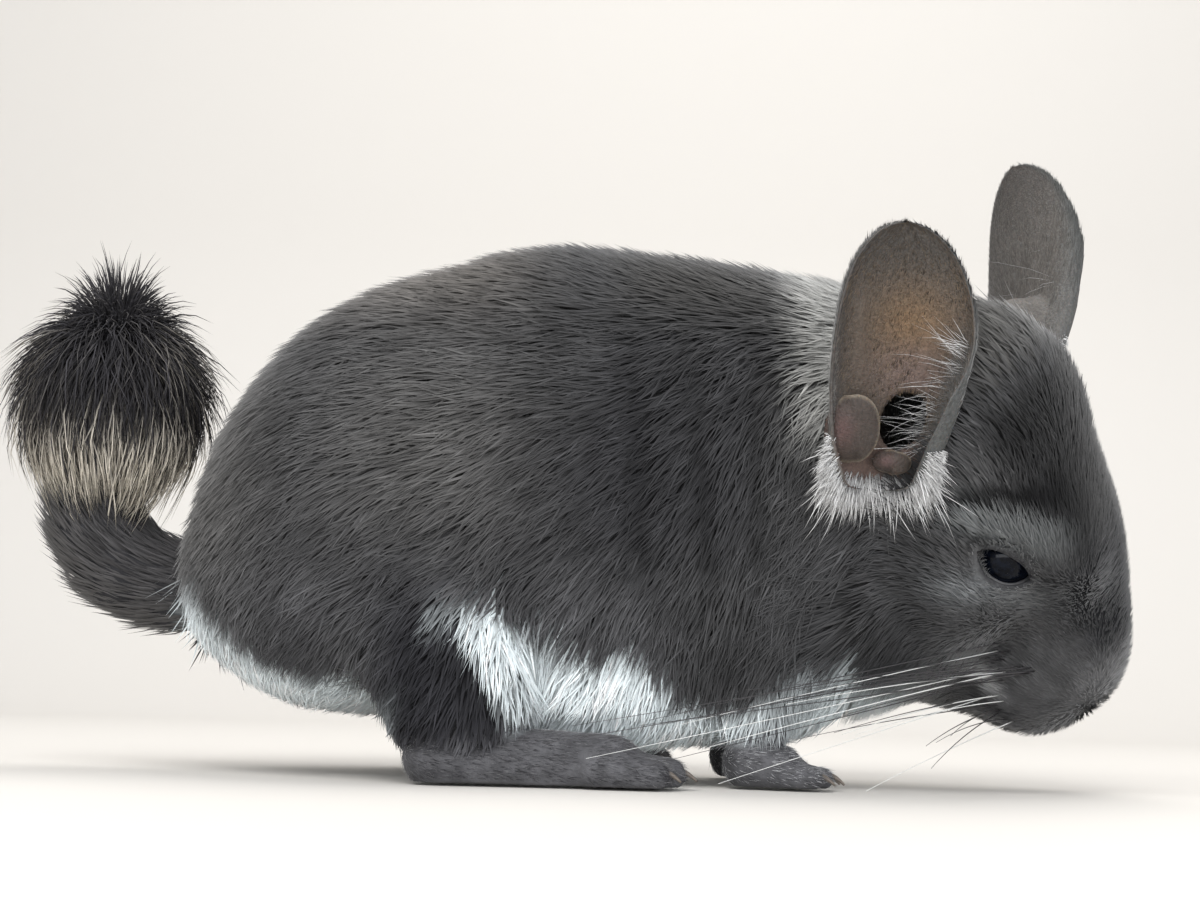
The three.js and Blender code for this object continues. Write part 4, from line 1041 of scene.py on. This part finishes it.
# ------------------------------------------------------------------ ears
def ear_skin(side):
    e = EARS[side]
    NU, NV = 110, 72
    u = np.linspace(0, 1, NU + 1)
    a = np.where(u < 0.5, u, 0.5 + 0.5 * np.sin((u - 0.5) * np.pi) * 0.9985) * 1.07 - 0.07
    v = np.linspace(-1, 1, NV + 1)
    A_, V_ = np.meshgrid(a, v, indexing="ij")
    rim = band(np.abs(V_), 0.93, 1.0)
    thick = (0.45 + 0.3 * (1 - band(A_, 0.0, 0.4))) * (1 - 0.45 * rim)
    _, _, o, _, _ = ear_frame(e)
    hollow = np.exp(-((((A_ - 0.215) / 0.095) ** 2 + ((V_ - 0.27) / 0.24) ** 2) ** 2))
    ridge = 0.5 * np.exp(-(((V_ + 0.25 + 0.3 * A_) / 0.07) ** 2)) * band(A_, 0.3, 0.4) * (1 - band(A_, 0.6, 0.8)) + 0.35 * np.exp(-(((V_ - 0.35) / 0.06) ** 2)) * band(A_, 0.3, 0.4) * (1 - band(A_, 0.55, 0.7))
    fine = 0.10 * np.sin(A_ * 95 + 3 * np.sin(V_ * 9)) * np.sin(V_ * 40 + 2 * np.sin(A_ * 30)) * band(A_, 0.1, 0.3)
    sink = -9.0 * hollow + ridge + fine
    inner = ear_point(e, A_, V_, thick) + sink[..., None] * o
    outer = ear_point(e, A_, V_, -thick) + np.minimum(sink, 0)[..., None] * o
    n1 = NV + 1
    V = np.concatenate([inner.reshape(-1, 3), outer.reshape(-1, 3)])
    i, j = np.meshgrid(np.arange(NU), np.arange(NV), indexing="ij")
    p = i * n1 + j
    Fi = np.stack([p, p + 1, p + n1 + 1, p + n1], -1).reshape(-1, 4)
    off = len(V) // 2
    Fo = Fi[:, ::-1] + off
    k, q = np.arange(NU), NU * n1
    jj = np.arange(NV)
    edge = [np.stack([k * n1, (k + 1) * n1, (k + 1) * n1 + off, k * n1 + off], 1),
            np.stack([k * n1 + NV + off, (k + 1) * n1 + NV + off, (k + 1) * n1 + NV, k * n1 + NV], 1),
            np.stack([jj + off, jj + 1 + off, jj + 1, jj], 1), np.stack([q + jj, q + jj + 1, q + jj + 1 + off, q + jj + off], 1)]
    F = np.concatenate([Fi, Fo] + edge)
    if e["roll"] < 0:
        F = F[:, ::-1]
    ai, vi = A_.ravel(), V_.ravel()
    ins = np.tile(linear((84, 75, 67)), (len(ai), 1))
    ins = blend(ins, linear((66, 61, 56)), band(ai, 0.66, 0.92))
    ins = blend(ins, linear((122, 96, 68)), np.exp(-(((ai - 0.60) / 0.15) ** 2 + ((vi - 0.15) / 0.42) ** 2)) * 0.85)
    ins = blend(ins, linear((116, 98, 92)), np.exp(-(((ai - 0.42) / 0.12) ** 2 + ((vi - 0.2) / 0.45) ** 2)) * 0.75)
    ins = blend(ins, linear((62, 60, 60)), (1 - band(vi, -0.85, -0.45)) * 0.7)
    ins = blend(ins, linear((110, 90, 84)), (1 - band(ai, 0.05, 0.2)) * 0.7)
    ins = blend(ins, linear((90, 89, 87)), band(vi, 0.56, 0.70) * (1 - band(ai, 0.45, 0.70)) * 0.9)
    # painted shade: the hollow over the ear canal darkened to near black
    ins = blend(ins, linear((7, 6, 7)), np.clip(1.6 * hollow.ravel(), 0, 1))
    outs = ear_back_tone(ai, vi)
    return build("ear_skin_" + side, V, F, MAT_EAR, np.concatenate([ins, outs]) * 0.72, None, True, ("ear_" + side,))


def ear_back_tone(ai, vi):
    c = np.tile(linear((104, 100, 96)), (len(ai), 1))
    c = blend(c, linear((86, 82, 79)), band(ai, 0.55, 1.0))
    c = blend(c, linear((92, 93, 92)), band(vi, 0.5, 0.9))
    return c


def ear_normal(e, a, v, sign):
    """Out of the sheet: sign 1 towards the opening, -1 out of the back."""
    p = ear_point(e, a, v, 0.0)
    q = ear_point(e, a, v, 0.5) - p
    return sign * q / (np.linalg.norm(q, axis=-1, keepdims=True) + 1e-9)


def ear_flap(side):
    """The rounded lobe over the ear's opening, and the small fold under it."""
    e = EARS[side]
    foot, along, o, front, length = ear_frame(e)
    parts, tones = [], []
    for a, v, out, size, tilt, dome in ((0.185, -0.50, 3.4, (5.9, 7.6, 0.8), 0.25, 1.0), (0.055, 0.16, 4.2, (4.2, 2.6, 1.0), -0.15, 0.5)):
        c = ear_point(e, np.array(a), np.array(v), 0.0) + o * out
        nu, nv = 40, 24
        th, ph = np.linspace(0, np.pi, nv + 1)[1:-1], np.arange(nu) * 2 * np.pi / nu
        x = np.outer(np.sin(th), np.cos(ph))
        y = np.outer(np.sin(th), np.sin(ph))
        z = np.outer(np.cos(th), np.ones(nu))
        x = np.concatenate([x.ravel(), [0, 0]])
        y = np.concatenate([y.ravel(), [0, 0]])
        z = np.concatenate([z.ravel(), [1, -1]])
        r2 = x * x + y * y
        up = dome * (1 - r2) * 0.9 - 1.6 * r2 * (x < 0) - 0.15 * np.cos(6 * y) * r2
        ct, st = math.cos(tilt), math.sin(tilt)
        px, py = size[0] * (x * ct - y * st), size[1] * (x * st + y * ct)
        V = c + front * px[:, None] + along * py[:, None] + o * (size[2] * z * (1 - 0.35 * (1 - r2)) + up)[:, None]
        i, j = np.meshgrid(np.arange(nv - 2), np.arange(nu), indexing="ij")
        a_, b_ = i * nu + j, i * nu + (j + 1) % nu
        F = np.stack([a_, a_ + nu, b_ + nu, b_], -1).reshape(-1, 4)
        jj = np.arange(nu)
        top, bottom = (nv - 1) * nu, (nv - 1) * nu + 1
        caps = np.concatenate([np.stack([np.full(nu, top), jj, (jj + 1) % nu], 1), np.stack([np.full(nu, bottom), (nv - 2) * nu + (jj + 1) % nu, (nv - 2) * nu + jj], 1)])
        if e["roll"] < 0:
            F, caps = F[:, ::-1], caps[:, ::-1]
        parts.append((V, [F, caps]))
        c_ = np.tile(linear((66, 58, 53)), (len(x), 1))
        c_ = blend(c_, linear((88, 66, 64)), np.exp(-(((x + 0.45) / 0.4) ** 2 + ((y - 0.1) / 0.5) ** 2)) * 0.8)
        c_ = blend(c_, linear((128, 118, 104)), band(np.sqrt(r2), 0.88, 0.99) * (x > -0.5) * 0.8)
        tones.append(c_)
    V, F = joined(parts)
    build("ear_flap_" + side, V, F, MAT_EAR, 0.8 * np.concatenate(tones), None, True)


def ear_hair(side):
    e = EARS[side]
    foot, along, o, front, length = ear_frame(e)
    down = np.array([0.0, 0.0, -1.0])
    # short fur on the back, a fine nap inside
    for label, sign, n, size, tone in (("back", -1, 17000, 2.1, None), ("inside", 1, 13000, 1.1, None)):
        n = int(n * scale)
        a = rng.random(n) * 1.0
        v = rng.random(n) * 2 - 1
        if sign > 0:
            keep_ = ((((a - 0.215) / 0.115) ** 2 + ((v - 0.27) / 0.29) ** 2) > 1) & (a > 0.20)
            a, v = a[keep_], v[keep_]
            n = len(a)
        a = np.minimum(a, 0.992)
        N_ = ear_normal(e, a, v, sign)
        t = ear_point(e, np.minimum(a + 0.01, 1.0), v, 0.0) - ear_point(e, a, v, 0.0)
        t = t / (np.linalg.norm(t, axis=1, keepdims=True) + 1e-9)
        t = t + front * ((0.5 * v * (sign < 0)) + 0.25 * rng.normal(size=n))[:, None]
        t -= N_ * (t * N_).sum(1, keepdims=True)
        t /= np.linalg.norm(t, axis=1, keepdims=True)
        root = ear_point(e, a, v, sign * 0.3)
        L = size * np.exp(rng.normal(0, 0.2, n)) * (1 - 0.35 * band(a, 0.6, 1.0) * (sign < 0))
        lift = (0.26 if sign < 0 else 0.35) + 0.1 * rng.normal(size=n)
        mid = root + (t * np.cos(lift)[:, None] + N_ * np.sin(lift)[:, None]) * (L * 0.5)[:, None]
        tip = root + (t * np.cos(lift * 0.8)[:, None] + N_ * np.sin(lift * 0.8)[:, None]) * L[:, None]
        k = 0.80 * np.exp(rng.normal(0, 0.22, n))[:, None]
        if sign < 0:
            base = ear_back_tone(a, v) * k
            w = 0.20 * np.exp(rng.normal(0, 0.2, n))
        else:
            base = np.where(rng.random(n)[:, None] < 0.45, linear((122, 106, 88)), linear((50, 45, 41))) * k
            base = blend(base, linear((66, 62, 58)), band(a, 0.75, 0.95) * 0.6)
            w = 0.095 * np.exp(rng.normal(0, 0.2, n))
        pts_ = np.stack([root, mid, tip], 1)
        tone3 = np.stack([base * 0.8, base, base * 1.15], 1)
        uv_ = np.stack([np.clip(a, 0, 1), (v + 1) / 2], 1) * 0.49 + 0.003 + np.array([0.5 * (sign > 0), 0])
        tuft_piece("ear_fur_%s_%s" % (label, side), pts_[:, [0, 2]], w[:, None], np.cross(N_, t), tone3[:, [0, 2]], uv_, MAT_FACE, (), 0.5)
    # long white hairs from the folded front margin, and the white fringe round the base
    groups = []
    near = 1.0 if side == "right" else 0.5
    n = int(150 * max(scale, 0.6))
    a = 0.10 + 0.46 * rng.random(n) ** 1.1
    v = 0.60 + 0.10 * rng.random(n) + 0.25 * band(a, 0.35, 0.55)
    d = -front * (0.9 + 0.1 * rng.normal(size=n))[:, None] + along * (0.15 + 1.1 * (a - 0.25) + 0.25 * rng.normal(size=n))[:, None] - o * (0.28 + 0.15 * rng.normal(size=n))[:, None]
    groups.append((a, v, d, 7.5, 0.065, 200, 0.4))
    middle = ear_point(e, np.array(0.13), np.array(0.0), 0.0)
    for n, a0, a1, v0, v1, L, tone in ((800, -0.03, 0.13, 0.72, 1.0, 4.4, 205), (800, -0.03, 0.16, -1.0, -0.70, 4.0, 205), (1800, -0.069, 0.0, -1.0, 1.0, 5.6, 205)):
        n = int(n * max(scale, 0.6))
        a = a0 + (a1 - a0) * rng.random(n) ** 1.15
        v = v0 + (v1 - v0) * rng.random(n)
        d = ear_point(e, a, v, 0.0) - middle
        d -= o * (d @ o)[:, None]
        d /= np.linalg.norm(d, axis=1, keepdims=True)
        d = d + o * (0.28 + 0.15 * rng.normal(size=n))[:, None] - along * 0.25 + 0.22 * rng.normal(size=(n, 3))
        groups.append((a, v, d, L * near * (1 - 0.6 * band(a, 0.02, a1)) if a1 > 0 else L * near * np.ones(n), 0.16, tone, 0.33))
    P_, W_, A2, T_, U_ = [], [], [], [], []
    for a, v, d, L, w, tone, spread in groups:
        n = len(a)
        d = d / np.linalg.norm(d, axis=1, keepdims=True)
        root = ear_point(e, a, v, np.where(rng.random(n) < 0.4, 0.7, -0.2))
        L = L * np.exp(rng.normal(0, spread, n))
        p = [root]
        for k in range(3):
            d = d + down * 0.10 + 0.09 * rng.normal(size=(n, 3))
            d /= np.linalg.norm(d, axis=1, keepdims=True)
            p.append(p[-1] + d * (L / 3)[:, None])
        P_.append(np.stack(p, 1))
        w = w * np.exp(rng.normal(0, 0.2, n))
        W_.append(np.stack([w * 0.7, w, w * 0.8], 1))
        A2.append(np.cross(d, o))
        c = linear((tone, tone, tone)) * np.exp(rng.normal(0, 0.12, n))[:, None]
        T_.append(np.stack([c * 0.55, c * 0.9, c, c], 1))
        U_.append(np.stack([np.clip(a + 0.1, 0, 1), (v + 1) / 2], 1) * 0.49 + 0.003)
    tuft_piece("ear_white_" + side, np.concatenate(P_), np.concatenate(W_), np.concatenate(A2), np.clip(np.concatenate(T_), 0, 0.9), np.concatenate(U_), MAT_TAIL)


for side in ("right", "left"):
    ear_skin(side)
    ear_flap(side)
    ear_hair(side)
note("ears")

# ------------------------------------------------------------------ tail brush
BRUSH_AT, BRUSH_HALF = np.array([-114, -7, 87.0]), np.array([22.0, 17.5, 28.5])


def brush_hairs():
    """Long hairs of the brush, springing from its core and falling over it like a fountain."""
    n = int(7400 * scale)
    a = rng.random(n) * 2 * np.pi
    start = np.arccos(1 - 1.62 * rng.random(n))
    share = np.clip(start / 1.9, 0, 1)
    sweep_ = (0.55 + 0.55 * rng.random(n)) * (0.55 + 0.45 * share)
    wild = np.where(rng.random(n) < 0.2, 1.0, 0.0)
    top = np.exp(-((start / 0.5) ** 2))
    pts_ = []
    ga, gb, gc = rng.normal(size=(3, n))
    reach = 0.97 + 0.07 * gb + 0.22 * wild * rng.random(n) + 0.13 * wobble(np.stack([a * 7, start * 7, a * 0], 1), 0.6, 1.0)
    for t in np.linspace(0, 1, 5):
        th = start + sweep_ * (t ** 1.15) * (1 - 0.75 * top)
        ph = a + 0.10 * ga * t + 0.12 * np.sin(3 * t + 6 * gc) * t
        rho = 0.50 + (reach - 0.50) * t ** 0.65 + 0.05 * top * t
        q = np.stack([np.sin(th) * np.cos(ph), np.sin(th) * np.sin(ph), np.cos(th)], 1)
        p = BRUSH_AT + BRUSH_HALF * q * rho[:, None]
        p[:, :2] = BRUSH_AT[:2] + (p[:, :2] - BRUSH_AT[:2]) * (1.08 - 0.30 * band(p[:, 2], 84, 118) - 0.16 * (1 - band(p[:, 2], 58, 74)))[:, None]
        p[:, 0] += 2.0 * top * t * ga
        pts_.append(p)
    pts_ = np.stack(pts_, 1)
    w = 0.40 * np.exp(rng.normal(0, 0.22, n))
    width_ = np.stack([w, w * 0.95, w * 0.8, w * 0.5], 1)
    d0 = pts_[:, 1] - pts_[:, 0]
    across_ = np.cross(d0, pts_[:, 2] - BRUSH_AT)
    across_ /= np.linalg.norm(across_, axis=1, keepdims=True) + 1e-9
    base = np.tile(linear((46, 45, 48)), (n, 1)) * np.exp(rng.normal(0, 0.25, n))[:, None]
    tone_ = np.repeat(base[:, None], 5, 1)
    low_ = 1 - band(pts_[:, -1, 2], 62, 74)
    edge_ = band(np.abs(pts_[:, -1, 0] - BRUSH_AT[0]), 12, 20) * 0.5
    pale = np.clip(low_ + 0.12 + edge_, 0, 1) * (rng.random(n) < 0.32 + 0.55 * low_)
    for k, g in enumerate((0.0, 0.05, 0.3, 0.75, 1.0)):
        tone_[:, k] = blend(tone_[:, k], linear((228, 220, 205)), pale * g * (0.40 + 0.60 * low_))
    uv_ = np.stack([start / np.pi, a / (2 * np.pi)], 1) * 0.99 + 0.003
    return pts_, width_, across_, tone_, uv_


def stalk_hairs():
    """Shorter hair lying along the tail below the brush."""
    seg = np.diff(TAIL_LINE, axis=0)
    L = np.linalg.norm(seg, axis=1)
    cum = np.concatenate([[0], np.cumsum(L)])
    n = int(6000 * scale)
    s_ = 2 + rng.random(n) * (cum[5] + 6)
    i = np.clip(np.searchsorted(cum, s_) - 1, 0, len(L) - 1)
    t = (s_ - cum[i]) / L[i]
    p = TAIL_LINE[i] + seg[i] * t[:, None]
    r = TAIL_RADIUS[i] + (TAIL_RADIUS[i + 1] - TAIL_RADIUS[i]) * t
    mid_dir = np.gradient(TAIL_LINE, axis=0)
    d = mid_dir[i] * (1 - t)[:, None] + mid_dir[i + 1] * t[:, None]
    d /= np.linalg.norm(d, axis=1, keepdims=True)
    a = rng.random(n) * 2 * np.pi
    x = np.cross(d, np.array([0.1, 1.0, 0.05]))
    x /= np.linalg.norm(x, axis=1, keepdims=True)
    y = np.cross(d, x)
    out = np.cos(a)[:, None] * x + np.sin(a)[:, None] * y
    far = band(s_, 34, 56)
    length_ = (8.5 + 3.0 * far) * np.exp(rng.normal(0, 0.15, n))
    lean = 0.26 + 0.07 * rng.normal(size=n)
    cur = d + out * lean[:, None] + 0.08 * rng.normal(size=(n, 3))
    cur /= np.linalg.norm(cur, axis=1, keepdims=True)
    p0 = p + out * (r - 0.4)[:, None]
    p1 = p0 + cur * (length_ * 0.5)[:, None]
    cur = cur * 0.8 + d * 0.2 + 0.06 * rng.normal(size=(n, 3))
    cur /= np.linalg.norm(cur, axis=1, keepdims=True)
    p2 = p1 + cur * (length_ * 0.5)[:, None]
    w = 0.50 * np.exp(rng.normal(0, 0.2, n))
    base = np.tile(linear((66, 65, 66)), (n, 1)) * np.exp(rng.normal(0, 0.2, n))[:, None]
    base = blend(base, linear((104, 102, 100)), np.clip(-(out @ np.array([-0.55, 0, -0.83])) * -1, 0, 1) * 0.55)
    tone_ = np.stack([base * 0.5, base * 0.95, base * 1.25], 1)
    uv_ = np.stack([s_ / cum[-1], a / (2 * np.pi)], 1) * 0.99 + 0.003
    return np.stack([p0, p1, p2], 1), np.stack([w * 0.8, w], 1), np.cross(out, d), tone_, uv_


pts, width, across, tone, uv = brush_hairs()
for i, part in enumerate(np.array_split(np.argsort(uv[:, 0], kind="stable"), max(1, math.ceil(len(pts) / 8200)))):
    tuft_piece("tail_brush_%d" % (i + 1), pts[part], width[part], across[part], tone[part], uv[part], MAT_TAIL, ("tail_tip",) if i == 0 else ())
pts, width, across, tone, uv = stalk_hairs()
tuft_piece("tail_coat", pts, width, across, tone, uv, MAT_COAT, (), 0.6)

# ------------------------------------------------------------------ whiskers
def whiskers():
    roots_ = [(19.5, 15.8, -11.5), (22, 15.8, -16), (25.5, 15.1, -19.5), (30, 13.3, -21), (24.5, 15.3, -9)]
    ends = {"right": [(-18, -62, 9), (4, -72, 8), (26, -80, 7), (50, -84, 6), (4, -69, 15)], "left": [(20, 54, 30), (40, 66, 24), (66, 74, 18), (92, 78, 16), (34, 62, 44)]}
    for side, s in (("right", -1), ("left", 1)):
        for i in range(5):
            fan, tones = [], []
            for k in range(5):
                rr = np.array(roots_[i]) + rng.normal(size=3) * (1.5, 0.2, 1.2) - (2.0, 0, 0.8)
                a = head_point((rr[0], s * rr[1], rr[2]))
                for _ in range(30):
                    g = out_grid.slope(a[None], 1.0)[0]
                    a = a - g * (out_grid.at(a[None])[0] + 1.2)
                b = np.array(ends[side][i], float) + rng.normal(size=3) * (7, 4, 2.5)
                b = a + (b - a) * (1.0 if k == 0 else 0.45 + 0.5 * rng.random())
                b[2] = max(b[2], 3.0)
                out = head_dir((0.1, s * 0.95, -0.3))
                mid = a + (b - a) * 0.42 + out * 9 * np.linalg.norm(b - a) / 110 + np.array([0, 0, 4])
                t = np.linspace(0, 1, 22)[:, None]
                line = a * (1 - t) ** 2 + 2 * mid * t * (1 - t) + b * t * t
                fan.append(tube(line, (0.10 + 0.07 * rng.random()) * (1 - 0.8 * t[:, 0] ** 1.2) + 0.02, 5))
                white = rng.random() < 0.45
                c = linear((205, 206, 204)) if white else linear((46, 44, 46))
                tones.append(np.tile(c, (len(fan[-1][0]), 1)))
            V, F = joined(fan)
            build("whiskers_%s_%d" % (side, i + 1), V, F, MAT_WHISKER, np.concatenate(tones), None, True, ("whisker_%s_%d" % (side, i + 1),))


whiskers()
note("whiskers")

# ------------------------------------------------------------------ floor, light, camera
def stage_piece(name, V, F, colour, rough):
    me = bpy.data.meshes.new(name)
    me.from_pydata([tuple(v) for v in V], [], [tuple(f) for f in F])
    for p in me.polygons:
        p.use_smooth = True
    mat, N_, L_, P_ = nodes_of(name)
    P_.inputs["Base Color"].default_value = (*colour, 1)
    P_.inputs["Roughness"].default_value = rough
    P_.inputs["Specular IOR Level"].default_value = 0.1
    me.materials.append(mat)
    ob = bpy.data.objects.new(name, me)
    bpy.context.scene.collection.objects.link(ob)
    return ob


sweep, n_ = [], 24
prof = [(-2.5, 0.0)] + [(0.55 + 0.35 * math.sin(a), 0.35 - 0.35 * math.cos(a)) for a in np.linspace(0, math.pi / 2, n_)] + [(0.9, 2.6)]
for x_ in (-3.0, 3.0):
    sweep += [(x_, y_, z_ - 0.0002) for y_, z_ in prof]
m_ = len(prof)
stage_piece("floor", sweep, [(i, i + m_, i + m_ + 1, i + 1) for i in range(m_ - 1)], (0.62, 0.60, 0.57), 0.7)

F_PX, ROLL, PITCH = 1915.0, math.radians(1.5), math.radians(7.08)
cam = bpy.data.cameras.new("camera")
cam.sensor_fit = "HORIZONTAL"
cam.sensor_width = 36.0
cam.lens = 36.0 * F_PX / 1200.0
cam.clip_start = 0.01
co = bpy.data.objects.new("camera", cam)
bpy.context.scene.collection.objects.link(co)
fw = np.array([0, math.cos(PITCH), math.sin(PITCH)])
up0 = np.array([0, -math.sin(PITCH), math.cos(PITCH)])
rt0 = np.array([1.0, 0, 0])
right = math.cos(ROLL) * rt0 + math.sin(ROLL) * up0
upv = math.cos(ROLL) * up0 - math.sin(ROLL) * rt0
from mathutils import Matrix
pos = row((0.0, -450.0, 21.0))
co.matrix_world = Matrix(((right[0], upv[0], -fw[0], pos[0]), (right[1], upv[1], -fw[1], pos[1]), (right[2], upv[2], -fw[2], pos[2]), (0, 0, 0, 1)))
bpy.context.scene.camera = co


def area_light(name, at, to, size, watts, colour=(1, 1, 1)):
    l = bpy.data.lights.new(name, "AREA")
    l.shape = "RECTANGLE"
    l.size, l.size_y = size
    l.energy = watts
    l.color = colour
    ob = bpy.data.objects.new(name, l)
    bpy.context.scene.collection.objects.link(ob)
    from mathutils import Vector
    d = Vector(to) - Vector(at)
    ob.location = at
    ob.rotation_euler = d.to_track_quat("-Z", "Y").to_euler()
    return ob


area_light("key", (-0.25, -0.75, 0.95), (0.0, 0.0, 0.07), (0.9, 0.7), 12, (1.0, 0.99, 0.97))
area_light("top", (0.2, 0.25, 1.1), (0.0, 0.0, 0.06), (0.9, 0.9), 9, (1.0, 0.98, 0.95))
area_light("front", (-0.12, -1.0, 0.10), (-0.02, 0.0, 0.03), (1.3, 0.3), 6.5, (0.97, 0.98, 1.0))
area_light("fill", (0.9, -0.7, 0.35), (0.05, 0.0, 0.07), (0.8, 0.8), 5, (0.93, 0.96, 1.0))
world = bpy.data.worlds.new("world")
world.use_nodes = True
world.node_tree.nodes["Background"].inputs["Color"].default_value = (0.93, 0.95, 1.0, 1)
world.node_tree.nodes["Background"].inputs["Strength"].default_value = 0.55
bpy.context.scene.world = world
bpy.context.scene.view_settings.view_transform = "Standard"

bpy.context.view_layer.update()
note("done")
